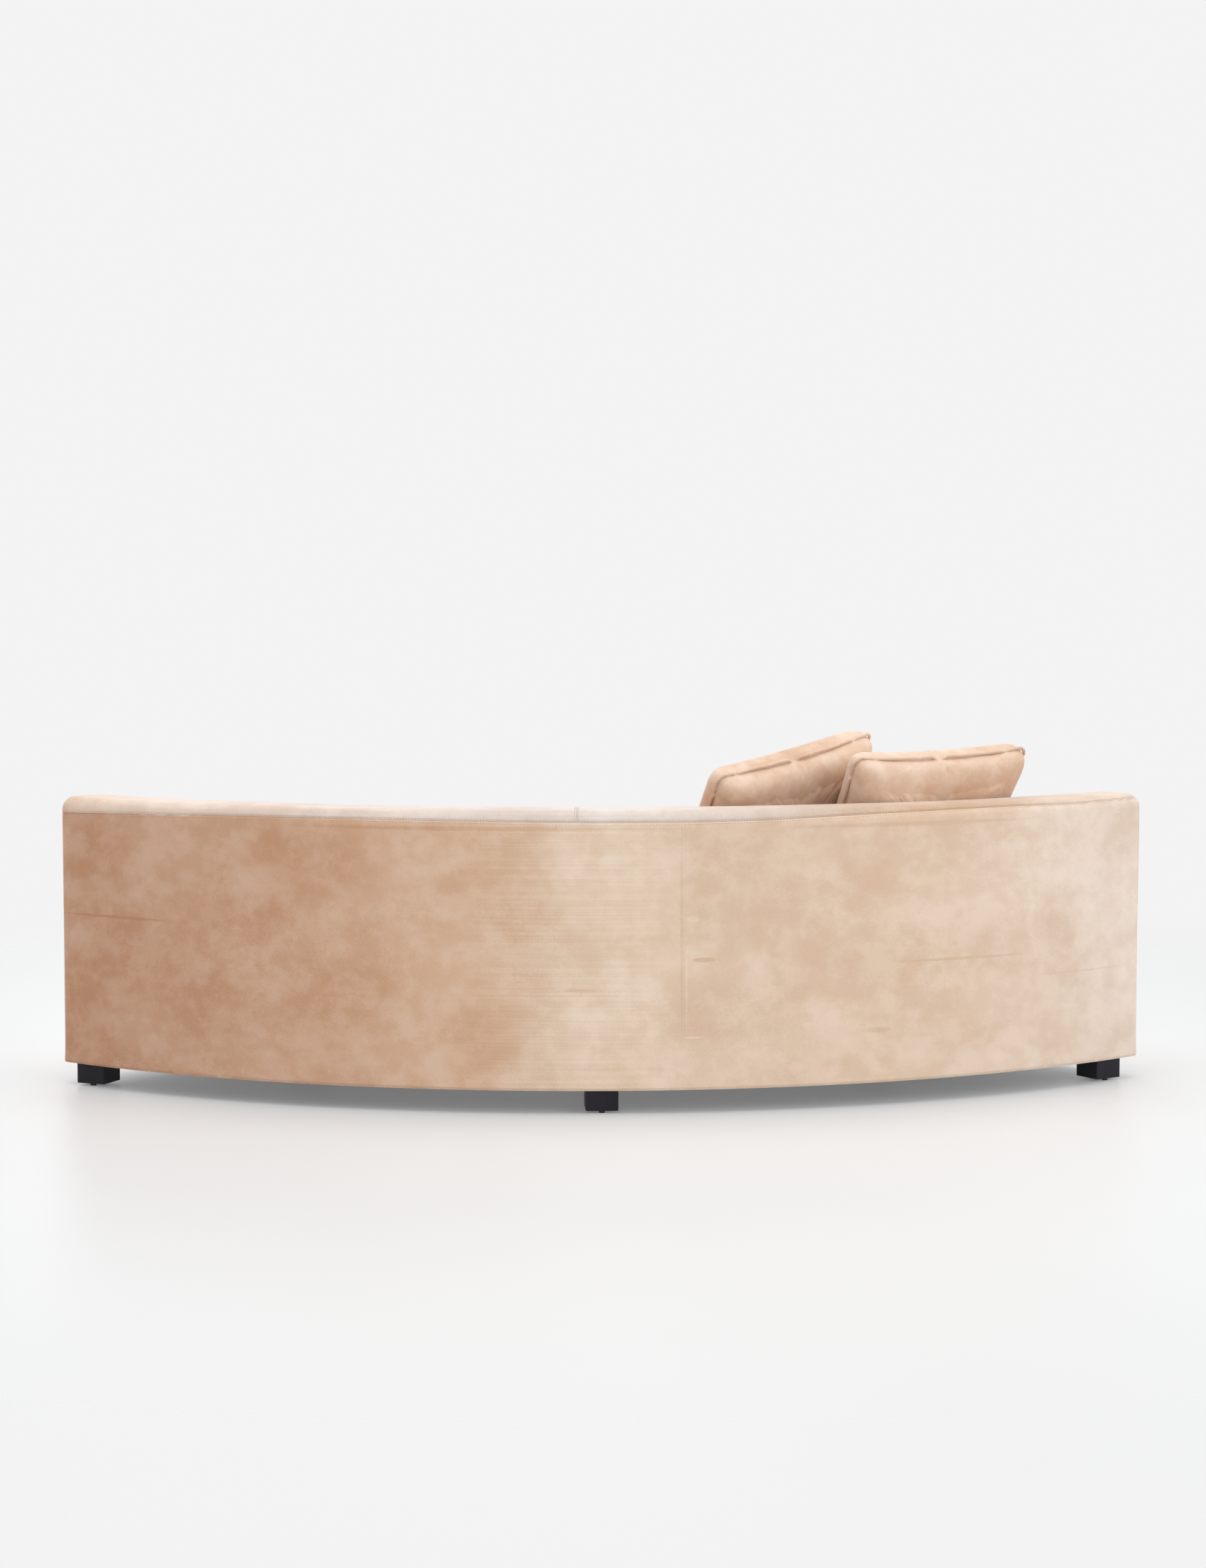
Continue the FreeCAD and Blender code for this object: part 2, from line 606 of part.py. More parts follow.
def cushion_body(first, last, skin):
    """A cushion lofted between two angles. Its ends draw in and its crown dies away towards them."""
    edge = math.degrees(skin / MID_RADIUS)
    first, last = first + edge, last - edge
    stations = CUSHION_STATIONS + [0.5] + [1 - share for share in reversed(CUSHION_STATIONS)]
    sections = []
    for share in stations:
        from_end = min(share, 1 - share)
        draw = CUSHION_CORNER * max(0.0, 1 - from_end / CUSHION_CORNER_SHARE) ** 2
        climb = math.sin(math.pi / 2 * min(1.0, from_end / CUSHION_CROWN_SHARE))
        crown = CUSHION_END_CROWN + (CUSHION_CROWN - CUSHION_END_CROWN) * climb
        sections.append(cushion_section(first + (last - first) * share, draw, crown, skin))
    return Part.makeLoft(sections, True, False)


def make_cushions():
    gap = math.degrees(CUSHION_GAP / 2 / MID_RADIUS)
    end = math.degrees(CUSHION_END_SETBACK / MID_RADIUS)
    for name, side in SIDES.items():
        first, last = sorted((side * gap, side * (HALF_ANGLE - end)))
        outer = cushion_body(first, last, 0.0)
        core = cushion_body(first, last, COVER)
        add(f"seat_cushion_foam_{name}", core)
        add(f"seat_cushion_cover_{name}", outer.cut(core))
        make_zip(name, first + ZIP_END_MARGIN, last - ZIP_END_MARGIN, side)


def make_zip(name, first, last, side):
    """A zip along the back boxing and its slider, parked at the end nearer the sofa's middle."""
    face = inner_line(DECK_HEIGHT) - CUSHION_BACK_CLEARANCE
    middle = DECK_HEIGHT + REST_CLEARANCE + CUSHION_THICKNESS / 2
    low, high = middle - ZIP_HEIGHT / 2, middle + ZIP_HEIGHT / 2
    add(f"seat_zip_{name}", band(face, face + ZIP_THICKNESS, low, high, first, last))
    park = first if side > 0 else last
    start = park + side * math.degrees(SLIDER_LENGTH / face)
    near = face + ZIP_THICKNESS + SLIDER_CLEARANCE
    spread = math.degrees(SLIDER_LENGTH / 2 / face)
    saddle = band(near, near + SLIDER_THICKNESS, middle - SLIDER_HEIGHT / 2, middle + SLIDER_HEIGHT / 2,
                  start - spread, start + spread)
    tab_spread = math.degrees(TAB_WIDTH / 2 / face)
    tab = band(near + SLIDER_THICKNESS / 2, near + SLIDER_THICKNESS, middle - TAB_LENGTH, middle,
               start - tab_spread, start + tab_spread)
    add(f"zip_slider_{name}", saddle.fuse(tab).removeSplitter())


# Loose pillows
def pillow_contour(half, corner, draw, depth):
    """A square with round corners and drawn-in sides, all tangent, upright at a depth from the middle."""
    centre = half - corner
    bend = 2 * math.atan2(draw, centre)
    x, z = centre - corner * math.sin(bend), centre + corner * math.cos(bend)
    low = z - x * math.tan(bend / 2)
    tip = centre + corner * math.sqrt(0.5)
    edges = []
    for quarter in range(4):
        turn = math.radians(90 * quarter)

        def spot(right, up):
            return Vector(right * math.cos(turn) + up * math.sin(turn), depth,
                          up * math.cos(turn) - right * math.sin(turn))

        edges.append(Part.Arc(spot(-x, z), spot(0, low), spot(x, z)).toShape())
        edges.append(Part.Arc(spot(x, z), spot(tip, tip), spot(z, x)).toShape())
    return Part.Wire(edges)


def pillow_half(skin, way):
    """Contours that shrink and grow rounder from the rim to the crown, lofted on one face of the pillow."""
    sections = []
    rim_share = PILLOW_CORNER / (PILLOW_SIDE / 2)
    for step in PILLOW_STATIONS:
        turn = math.radians(step)
        out, up = math.cos(turn) ** (2 / PILLOW_FULLNESS), math.sin(turn) ** (2 / PILLOW_FULLNESS)
        half = (PILLOW_SIDE / 2 - skin) * out
        corner = half * (rim_share + (PILLOW_ROUNDING - rim_share) * (1 - out))
        depth = way * (PILLOW_THICKNESS / 2 - skin) * up
        sections.append(pillow_contour(half, corner, PILLOW_DRAW * out * (1 - up), depth))
    return Part.makeLoft(sections, True, False)


def pillow_body(skin):
    return pillow_half(skin, 1).fuse(pillow_half(skin, -1)).removeSplitter()


def piping_body():
    """The cord in its sleeve, sewn round the rim."""
    path = pillow_contour(PILLOW_SIDE / 2 + PIPING_OUT, PILLOW_CORNER + PIPING_OUT, PILLOW_DRAW, 0.0)
    first = path.Edges[0]
    start = first.valueAt(first.FirstParameter)
    section = Part.Wire(Part.makeCircle(PIPING_RADIUS, start, first.tangentAt(first.FirstParameter)))
    return path.makePipeShell([section], True, False)


def settle(shape, from_end, twist, lean, roll, rise, stand_off):
    """Rolls a pillow in its own plane, leans it back, turns it and sets it on the seat against the back."""
    tilt, spin = math.radians(lean), math.radians(roll)
    corner = PILLOW_CORNER + PIPING_OUT
    reach = (PILLOW_SIDE / 2 - PILLOW_CORNER) * (math.cos(spin) + math.sin(spin)) + corner
    seat = DECK_HEIGHT + REST_CLEARANCE + CUSHION_THICKNESS + rise * CUSHION_CROWN
    height = seat + reach * math.cos(tilt) + PIPING_RADIUS
    edge = inner_line(TOP_HEIGHT) - (TOP_HEIGHT - height) * math.tan(tilt)
    radius = edge - stand_off * PILLOW_THICKNESS / 2 / math.cos(tilt)
    angle = from_end - HALF_ANGLE
    moved = shape.copy()
    origin = Vector(0, 0, 0)
    moved.rotate(origin, Vector(0, 1, 0), roll)
    moved.rotate(origin, Vector(1, 0, 0), -lean)
    moved.rotate(origin, UP, -(angle + twist))
    moved.translate(place(radius, angle, height))
    return moved


def make_pillows():
    outer, core = pillow_body(0.0), pillow_body(COVER)
    piping = piping_body()
    for name, where in PILLOW_PLACES.items():
        add(f"{name}_fill", settle(core, *where))
        add(f"{name}_cover", settle(outer.cut(core), *where))
        add(f"{name}_piping", settle(piping, *where))


def check(name, shape):
    """Stops the build where a piece isn't made of sound closed solids."""
    if not shape.Solids or not all(s.isValid() and s.Volume > 0 for s in shape.Solids):
        raise ValueError(f"{name} is not a sound solid")


def main():
    make_covers()
    make_padding()
    make_frame()
    make_screws()
    make_springs()
    make_webbing()
    make_feet()
    make_cushions()
    make_pillows()
    os.makedirs("parts", exist_ok=True)
    for name, shape in parts.items():
        check(name, shape)
        shape.exportStep(f"parts/{name}.step")
    print(len(parts), "pieces written")


main()
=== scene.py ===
# %% [markdown]
# # A curved velvet sofa
# The solid model gives every piece its true place. It stands on the floor at z = 0, people sit facing
# -Y, and the low back curves round behind them. Here the solid upholstery is dressed in sewn velvet,
# and the hard pieces keep their solids and get real finishes. The model is loaded first, because each
# cloth piece is laid out from its measurements, in metres.

# %% Load the solid model
import json
import math
import bmesh
import bpy
import numpy as np
from mathutils import Matrix, Vector
from mathutils.bvhtree import BVHTree
from mathutils.geometry import delaunay_2d_cdt
from mathutils.kdtree import KDTree


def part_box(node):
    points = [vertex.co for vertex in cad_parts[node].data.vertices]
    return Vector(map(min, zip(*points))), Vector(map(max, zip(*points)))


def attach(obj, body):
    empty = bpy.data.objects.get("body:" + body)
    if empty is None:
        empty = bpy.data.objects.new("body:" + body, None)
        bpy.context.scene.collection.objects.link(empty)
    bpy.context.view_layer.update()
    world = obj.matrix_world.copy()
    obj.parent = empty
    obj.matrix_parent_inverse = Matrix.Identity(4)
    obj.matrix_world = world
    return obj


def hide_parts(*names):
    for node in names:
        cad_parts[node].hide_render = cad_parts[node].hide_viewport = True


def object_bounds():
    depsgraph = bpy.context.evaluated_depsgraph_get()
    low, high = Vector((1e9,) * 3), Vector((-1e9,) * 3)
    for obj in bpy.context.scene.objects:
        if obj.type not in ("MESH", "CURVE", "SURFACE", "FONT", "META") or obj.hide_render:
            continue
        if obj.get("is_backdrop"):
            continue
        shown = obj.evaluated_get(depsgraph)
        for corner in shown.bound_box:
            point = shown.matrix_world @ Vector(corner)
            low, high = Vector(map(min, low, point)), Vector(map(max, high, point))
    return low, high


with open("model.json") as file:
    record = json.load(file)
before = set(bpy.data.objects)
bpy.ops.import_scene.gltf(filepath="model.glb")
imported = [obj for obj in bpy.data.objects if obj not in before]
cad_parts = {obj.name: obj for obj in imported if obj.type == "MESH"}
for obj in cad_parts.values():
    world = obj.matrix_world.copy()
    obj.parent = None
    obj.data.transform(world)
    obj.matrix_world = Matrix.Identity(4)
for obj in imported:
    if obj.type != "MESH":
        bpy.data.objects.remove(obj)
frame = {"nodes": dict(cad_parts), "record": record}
solid_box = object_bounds()
print("solid model", len(frame["nodes"]), "pieces,", [round(v, 3) for v in solid_box[1] - solid_box[0]], "m")

# %% [markdown]
# ## The sofa's layout
# An upholsterer thinks of this sofa as one section swept round a centre. Points are given by their
# radius from that upright axis, their angle from straight back, and their height. The same few sizes
# then place the back, the deck, the border, the cushions and the stitching.

# %% Sizes and the section
BACK, FRONT = 2.2, 1.29
FLOOR, DECK, TOP = 0.060, 0.280, 0.743
WIDTH_TOP, WIDTH_DECK = 0.146, 0.235
DECK_EDGE, CROTCH, SHOULDER = 0.026, 0.020, 0.034
HALF = math.radians(39.6)
END_ROUND = 0.022
END_SEAM = 0.011
AXIS_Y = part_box("outside_back_cover")[1].y - BACK
rng = np.random.default_rng(7)


def inside_back(height):
    return BACK - WIDTH_TOP - (TOP - height) * ((WIDTH_DECK - WIDTH_TOP) / (TOP - DECK))


def rounded_path(corners, spacing=0.002):
    """Points along straight runs with round corners. Each corner is (across, up, rounding)."""
    points = []
    for i, (x, y, rounding) in enumerate(corners):
        corner = np.array([x, y])
        if rounding == 0:
            points.append(corner)
            continue
        before, after = np.array(corners[i - 1][:2]) - corner, np.array(corners[i + 1][:2]) - corner
        before, after = before / np.linalg.norm(before), after / np.linalg.norm(after)
        turn = math.acos(np.clip(before @ after, -1, 1))
        middle = (before + after) / np.linalg.norm(before + after)
        centre = corner + middle * rounding / math.sin(turn / 2)
        start, end = (corner + way * rounding / math.tan(turn / 2) - centre for way in (before, after))
        for share in np.linspace(0, 1, 17):
            arm = start * (1 - share) + end * share
            points.append(centre + arm / np.linalg.norm(arm) * rounding)
    points = np.array(points)
    reach = np.r_[0, np.cumsum(np.linalg.norm(np.diff(points, axis=0), axis=1))]
    along = np.arange(0, reach[-1], spacing)
    return along, np.c_[np.interp(along, reach, points[:, 0]), np.interp(along, reach, points[:, 1])]


RUN, SECTION = rounded_path([
    (FRONT, FLOOR, 0), (FRONT, DECK, DECK_EDGE), (inside_back(DECK), DECK, CROTCH),
    (inside_back(TOP), TOP, SHOULDER), (BACK, TOP, SHOULDER), (BACK, FLOOR, 0),
])
travel = np.gradient(SECTION, axis=0)
travel /= np.linalg.norm(travel, axis=1)[:, None]
OUT = np.c_[-travel[:, 1], travel[:, 0]]
crest = int(np.argmin(np.abs(SECTION[:, 0] - 2.12) + 10 * (SECTION[:, 1] < TOP - 0.001)))
print("section", len(RUN), "points,", round(RUN[-1], 3), "m round")


def run_at_height(height, outside=True):
    """Distance along the section to a height on the outside or the inside of the back."""
    pick = slice(crest, None) if outside else slice(int(np.argmin(np.abs(SECTION[:, 0] - 1.90))), crest)
    heights, runs = SECTION[pick, 1], RUN[pick]
    order = np.argsort(heights)
    return np.interp(height, heights[order], runs[order])


def across(run):
    """Radius, height and outward direction on the section at distances along it."""
    pick = [np.interp(run, RUN, column) for column in (*SECTION.T, *OUT.T)]
    length = np.hypot(pick[2], pick[3])
    return pick[0], pick[1], pick[2] / length, pick[3] / length


def spot(radius, angle, height):
    return np.stack([radius * np.sin(angle), AXIS_Y + radius * np.cos(angle), height + 0 * angle], -1)


# %% [markdown]
# ## Where the seams run
# Cloth shows its seams more than its colour. The outer seam of the top band isn't quite level on the
# real sofa: it climbs towards one end. Its height is written down at a few angles and joined smoothly.

# %% Seam heights
SEAM_ANGLES = np.radians([-41, -38.7, -37.2, -34.4, -30.2, -23.3, -16.4, -10,
                          -4, 2.3, 7, 16, 26.4, 35, 39, 41])
SEAM_HEIGHTS = [.735, .7345, .7325, .730, .7325, .7325, .7265, .718,
                .715, .715, .7175, .720, .7175, .709, .704, .703]
BAND_JOIN = math.radians(2.2)
BACK_CREASE = math.radians(-4.65)


def outer_seam(angle):
    """Distance along the section to the top band's outer seam."""
    spread = math.radians(1.5)
    height = sum(np.interp(angle + k * spread, SEAM_ANGLES, SEAM_HEIGHTS) for k in (-1, 0, 1)) / 3
    return run_at_height(height)


INNER_SEAM = run_at_height(0.716, outside=False)
DECK_SEAM = float(np.interp(inside_back(DECK) - CROTCH, SECTION[:crest, 0], RUN[:crest]))
BORDER_SEAM = float(np.interp(FRONT + DECK_EDGE, SECTION[:crest, 0], RUN[:crest]))
seams = (BORDER_SEAM, DECK_SEAM, INNER_SEAM, outer_seam(0.0))
print("seams along the section at", [round(float(v), 3) for v in seams])

# %% [markdown]
# ## How the cloth lies
# Velvet pulled over wadding is never a perfect surface. It puffs up on both sides of a seam, puckers in
# short folds where the thread gathers it, hangs in pleats near a corner and keeps long soft waves.
# Each of these is a small height added to the section, from a seeded sum of waves, so that stitches
# laid later can ask for the same height.

# %% Relief of the stretched cloth
waves = [(rng.uniform(3, 22), rng.uniform(0, 2 * math.pi), rng.uniform(0, 2 * math.pi)) for _ in range(26)]


def soft_waves(u, v):
    """Long soft waves in the padding, about half a millimetre high."""
    total = 0 * u
    for rate, turn, phase in waves:
        total = total + np.sin(rate * (u * math.cos(turn) + 1.6 * v * math.sin(turn)) + phase) * (4 / rate)
    return 0.00022 * total


def pucker_places(count, low, high):
    return [(rng.uniform(low, high), rng.uniform(0.003, 0.008), rng.uniform(-1, 1), rng.uniform(0.008, 0.030))
            for _ in range(count)]


OUTER_PUCKERS = pucker_places(170, -1.52, 1.52)
INNER_PUCKERS = pucker_places(130, -1.40, 1.40)
HEM_PUCKERS = pucker_places(70, -1.52, 1.52) + pucker_places(40, 0.9, 1.5)
END_PLEATS = [(-1.385, .008, .8, .06), (-1.408, .006, -1, .09), (-1.428, .007, 1.5, .12),
              (-1.449, .006, -1.4, .14), (-1.466, .006, 1.6, .11), (-1.484, .005, -1.2, .13),
              (-1.340, .014, .8, .05), (-1.500, .005, 1.2, .09)]


def puckers(places, u, away, height):
    total = 0 * u
    for middle, width, size, length in places:
        total = total + size * np.exp(-((u - middle) / width) ** 2 - away / length)
    return height * total


def groove(away, depth=0.0016, width=0.0035):
    return -depth * np.exp(-(away / width) ** 2)


def relief(run, angle):
    """Height of the cloth above the plain section, from distance along it and angle."""
    radius, height, _, _ = across(run)
    u = angle * BACK
    above = run - outer_seam(angle)
    to_outer, to_inner = np.abs(above), np.abs(run - INNER_SEAM)
    lift = soft_waves(u, run)
    for edge in (BORDER_SEAM, DECK_SEAM):
        lift = lift + groove(np.abs(run - edge))
    lift = lift + groove(to_outer) + groove(to_inner)
    lift = lift + puckers(OUTER_PUCKERS, u, to_outer, 0.00032) + puckers(INNER_PUCKERS, u, to_inner, 0.00035)
    crown = np.clip((run - INNER_SEAM) / (outer_seam(angle) - INNER_SEAM), 0, 1)
    lift = lift + 0.0030 * np.sin(math.pi * crown) ** 0.8 - 0.0008 * (crown > 0) * (crown < 1)
    lift = lift + groove(np.abs(u - BAND_JOIN * BACK), 0.0014, 0.0028) * (crown > 0) * (crown < 1)
    below = np.clip(above, 0, 1)
    on_back = (above > 0) * 1.0
    lift = lift + on_back * puckers(END_PLEATS, u, below, 0.0015)
    to_hem = np.abs(RUN[-1] - run)
    lift = lift + on_back * puckers(HEM_PUCKERS, u, to_hem, 0.0005)
    crease = np.clip((height - 0.18) / 0.02, 0, 1) * on_back
    lift = lift + crease * (groove(np.abs(u - BACK_CREASE * BACK), 0.0006, 0.0018)
                            - groove(np.abs(u - BACK_CREASE * BACK + 0.004), 0.0005, 0.003))
    return lift + on_back * 0.0018 * np.exp(-(to_hem / 0.03) ** 2)


# %% [markdown]
# ## Laying a panel
# A sewn panel is a grid of points from one seam to the next. Its columns follow the sofa's centre, and
# the last few lie closer together, because there the cloth rolls over the upright corner at each end.
# A Solidify modifier then gives the sheet the thickness of real velvet on its backing, inwards.

# %% Grids into cloth
def near_ends(count, extra=()):
    """Columns as pairs: distance in from an end plane, or a share of the way between the two ends."""
    shares = set(np.round(np.linspace(0, 1, count), 5))
    for angle in extra:
        middle = (angle + HALF) / (2 * HALF)
        shares |= set(np.round(middle + np.array([-8, -5, -3, -2, -1, 0, 1, 2, 3, 5, 8]) * 0.0004, 5))
    rim = [0.011, 0.0122, 0.014, 0.0165, 0.019]
    middle = [("share", share) for share in sorted(shares)]
    return [("low", d) for d in rim] + middle + [("high", d) for d in rim[::-1]]


def column_angles(column, radius):
    kind, value = column
    edge = HALF - np.arcsin(END_ROUND / radius)
    if kind == "share":
        return -edge + 2 * edge * value, 0 * radius + END_ROUND
    angle = HALF - np.arcsin(value / radius)
    return (-angle if kind == "low" else angle), 0 * radius + value


def rolled(depth):
    """How far the cloth drops towards a corner, at a distance in from the end plane."""
    return END_ROUND - np.sqrt(END_ROUND**2 - np.clip(END_ROUND - depth, 0, END_ROUND) ** 2)


def laid(run, angle, depth):
    radius, height, out_r, out_z = across(run)
    rise = relief(run, angle) - rolled(depth)
    rise = rise + groove(np.abs(depth - END_SEAM), 0.0010, 0.003) * (depth < END_ROUND)
    return spot(radius + out_r * rise, angle, height + out_z * rise)


def cloth_mesh(name, points, faces):
    mesh = bpy.data.meshes.new(name)
    mesh.from_pydata([tuple(p) for p in points], [], faces)
    mesh.validate()
    made = bmesh.new()
    made.from_mesh(mesh)
    bmesh.ops.recalc_face_normals(made, faces=made.faces)
    made.to_mesh(mesh)
    made.free()
    mesh.shade_smooth()
    piece = bpy.data.objects.new(name, mesh)
    bpy.context.collection.objects.link(piece)
    return piece


def grid_faces(rows, columns):
    index = np.arange(rows * columns).reshape(rows, columns)
    corners = [index[:-1, :-1], index[1:, :-1], index[1:, 1:], index[:-1, 1:]]
    return np.stack(corners, -1).reshape(-1, 4).tolist()


def ring_faces(rings, count, joined=False):
    """Faces between rings of points. The last ring joins the first, or both are closed by caps."""
    faces = []
    for i in range(rings if joined else rings - 1):
        here, ahead = i * count, (i + 1) % rings * count
        for j in range(count):
            after = (j + 1) % count
            faces.append([here + j, ahead + j, ahead + after, here + after])
    if not joined:
        faces += [list(range(count)), [(rings - 1) * count + j for j in range(count)]]
    return faces


def tree_of(points):
    """A search tree that finds the nearest of some points."""
    tree = KDTree(len(points))
    for i, point in enumerate(points):
        tree.insert(point, i)
    tree.balance()
    return tree


def thicken(piece, outward, thickness=0.0018):
    """Turns the sheet to face outward at its first face, and gives it thickness on the far side."""
    first = piece.data.polygons[len(piece.data.polygons) // 2]
    if first.normal @ Vector(outward(first.center)) < 0:
        piece.data.flip_normals()
    solidify = piece.modifiers.new("backing", "SOLIDIFY")
    solidify.thickness, solidify.offset = thickness, -1
    return piece


def panel(name, low, high, rows, columns, first=-HALF, last=HALF):
    """Cloth between two seams. low and high give distances along the section at an angle."""
    lines = []
    for column in columns:
        angle = column_angles(column, np.array([2.0]))[0][0]
        if not first - 1e-4 <= angle <= last + 1e-4:
            continue
        run = np.linspace(float(low(angle)), float(high(angle)), rows)
        if rows > 12:
            ease = 0.5 - 0.5 * np.cos(math.pi * np.linspace(0, 1, rows))
            run = run[0] + (run[-1] - run[0]) * (0.75 * np.linspace(0, 1, rows) + 0.25 * ease)
        turn, depth = column_angles(column, across(run)[0])
        if column[0] == "share":
            turn = np.clip(turn, max(first, -HALF), min(last, HALF))
        lines.append(laid(run, turn, depth))
    points = np.stack(lines)
    piece = cloth_mesh(name, points.reshape(-1, 3), grid_faces(points.shape[0], points.shape[1]))
    middle = float((low(0.0) + high(0.0)) / 2)
    _, _, out_r, out_z = (float(value) for value in across(middle))
    thicken(piece, lambda c: Vector((c.x, c.y - AXIS_Y, 0)).normalized() * out_r + Vector((0, 0, out_z)))
    print(name, points.shape[:2], "points")
    return piece


def level(run):
    return lambda angle: run + 0 * angle


fine = near_ends(430, [BAND_JOIN, BACK_CREASE])
coarse = near_ends(220, [BAND_JOIN])
outside_back = panel("outside_back_velvet", outer_seam, level(RUN[-1]), 96, fine)
inside_back_piece = panel("inside_back_velvet", level(DECK_SEAM), level(INNER_SEAM), 56, coarse)
deck = panel("deck_velvet", level(BORDER_SEAM), level(DECK_SEAM), 60, coarse)
front_border = panel("front_border_velvet", level(0.0), level(BORDER_SEAM), 34, coarse)
band_left = panel("top_band_left_velvet", level(INNER_SEAM), outer_seam, 34, fine, last=BAND_JOIN)
band_right = panel("top_band_right_velvet", level(INNER_SEAM), outer_seam, 34, fine, first=BAND_JOIN)
for piece, node in (
    (outside_back, "outside_back_cover"), (inside_back_piece, "inside_back_cover"), (deck, "deck_cover"),
    (front_border, "front_border"), (band_left, "top_band_left"), (band_right, "top_band_right"),
):
    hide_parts(node)
    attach(piece, "frame")

# %% [markdown]
# ## The two end panels
# Each open end is closed by one flat panel in the outline of the section. Its edge rolls over the
# corner to meet the seam, and its middle is flat, so the rim is a swept strip and the middle is filled
# with an even net of triangles that shares the strip's last row.

# %% End panels
def end_panel(name, side, bulge=0.0):
    run = np.arange(0, RUN[-1] + 0.004, 0.008).clip(0, RUN[-1])
    radius, height, out_r, out_z = across(run)
    inward = -side * np.array([math.cos(HALF), -side * math.sin(HALF), 0.0])
    turns = np.radians([30, 33, 37, 43, 50, 58, 66, 74, 82, 90])
    rows = []

    def swell(heights, share):
        top = np.clip((heights - 0.40) / 0.30, 0, 1)
        return bulge * top * top * (3 - 2 * top) * share

    for turn in turns:
        drop = END_ROUND * (1 - math.cos(turn))
        depth = END_ROUND * (1 - math.sin(turn))
        share = (turn - turns[0]) / (turns[-1] - turns[0])
        r, z = radius - out_r * drop, height - out_z * drop
        angle = side * (HALF - np.arcsin(depth / r))
        lift = relief(run, angle) * (1 - share) + groove(depth - END_SEAM, 0.0010, 0.003)
        points = spot(r + out_r * lift, angle, z + out_z * lift)
        rows.append(points - inward * swell(z, share ** 0.7)[:, None])
    rim = np.stack(rows)
    flat_r, flat_z = radius - out_r * END_ROUND, height - out_z * END_ROUND
    outline = [Vector((r, z)) for r, z in zip(flat_r, flat_z)]
    count = len(outline)
    net = [Vector((r, z)) for r in np.arange(1.32, 2.18, 0.012)
           for z in np.arange(FLOOR + 0.008, 0.72, 0.012)]
    result = delaunay_2d_cdt(outline + net, [(i, (i + 1) % count) for i in range(count)], [], 1, 1e-5)
    flat = np.array([(p.x, p.y) for p in result[0]])
    tree = tree_of([(p.x, p.y, 0) for p in outline])
    away = np.array([tree.find((r, z, 0))[2] for r, z in flat])
    waviness = 3 * soft_waves(flat[:, 0] + side * 9, flat[:, 1])
    lift = 0.0022 * (1 - np.exp(-(away / 0.05) ** 2)) + waviness * (1 - np.exp(-(away / 0.03) ** 2))
    plane = spot(flat[:, 0], np.full(len(flat), side * HALF), flat[:, 1])
    plane = plane - inward * (lift + swell(flat[:, 1], 1.0))[:, None]
    points = np.r_[rim.reshape(-1, 3), plane]
    first_flat = rim.shape[0] * rim.shape[1]
    faces = grid_faces(*rim.shape[:2]) + [[i + first_flat for i in face] for face in result[2]]
    piece = cloth_mesh(name, points, faces)
    made = bmesh.new()
    made.from_mesh(piece.data)
    bmesh.ops.remove_doubles(made, verts=made.verts, dist=0.0004)
    bmesh.ops.recalc_face_normals(made, faces=made.faces)
    made.to_mesh(piece.data)
    made.free()
    piece.data.shade_smooth()
    thicken(piece, lambda c: Vector(-inward))
    print(name, len(piece.data.vertices), "points")
    return piece


for name, side, bulge in (("left", -1, 0.006), ("right", 1, 0.001)):
    end = end_panel(f"end_{name}_velvet", side, bulge)
    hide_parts(f"end_cover_{name}")
    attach(end, "frame")

# %% [markdown]
# ## The turned hem and the dust cloth
# Under the sofa the velvet is folded in and stapled, which leaves a small round edge all along the
# bottom. The cloth beneath the frame is a thin black sheet that hangs a little between the sills. The
# hem is a strip that follows the footprint, and the sheet is a grid that sags where nothing holds it.

# %% Hem and dust cloth
def corner_points(radius, side, first, last):
    """Plan points round one corner: centre at END_ROUND inside both faces."""
    inner = radius + (END_ROUND if radius < 2 else -END_ROUND)
    angle = side * (HALF - math.asin(END_ROUND / inner))
    centre = spot(np.array([inner]), np.array([angle]), 0.0)[0][:2]
    ways = [np.array([math.sin(t), math.cos(t)]) for t in np.radians(np.linspace(first, last, 7))]
    return [(centre + END_ROUND * way, way) for way in ways]


def footprint():
    edge = math.degrees(HALF)
    back = math.degrees(HALF - math.asin(END_ROUND / (BACK - END_ROUND)))
    front = math.degrees(HALF - math.asin(END_ROUND / (FRONT + END_ROUND)))
    path = []
    for angle in np.radians(np.linspace(-back, back, 330)):
        way = np.array([math.sin(angle), math.cos(angle)])
        path.append((np.array([0, AXIS_Y]) + BACK * way, way))
    path += corner_points(BACK, 1, back, edge + 90)[1:]
    path += corner_points(FRONT, 1, edge + 90, front + 180)
    for angle in np.radians(np.linspace(front, -front, 200))[1:-1]:
        way = np.array([math.sin(angle), math.cos(angle)])
        path.append((np.array([0, AXIS_Y]) + FRONT * way, -way))
    path += corner_points(FRONT, -1, 180 - front, 270 - edge)
    path += corner_points(BACK, -1, -90 - edge, -back)[:-1]
    return path


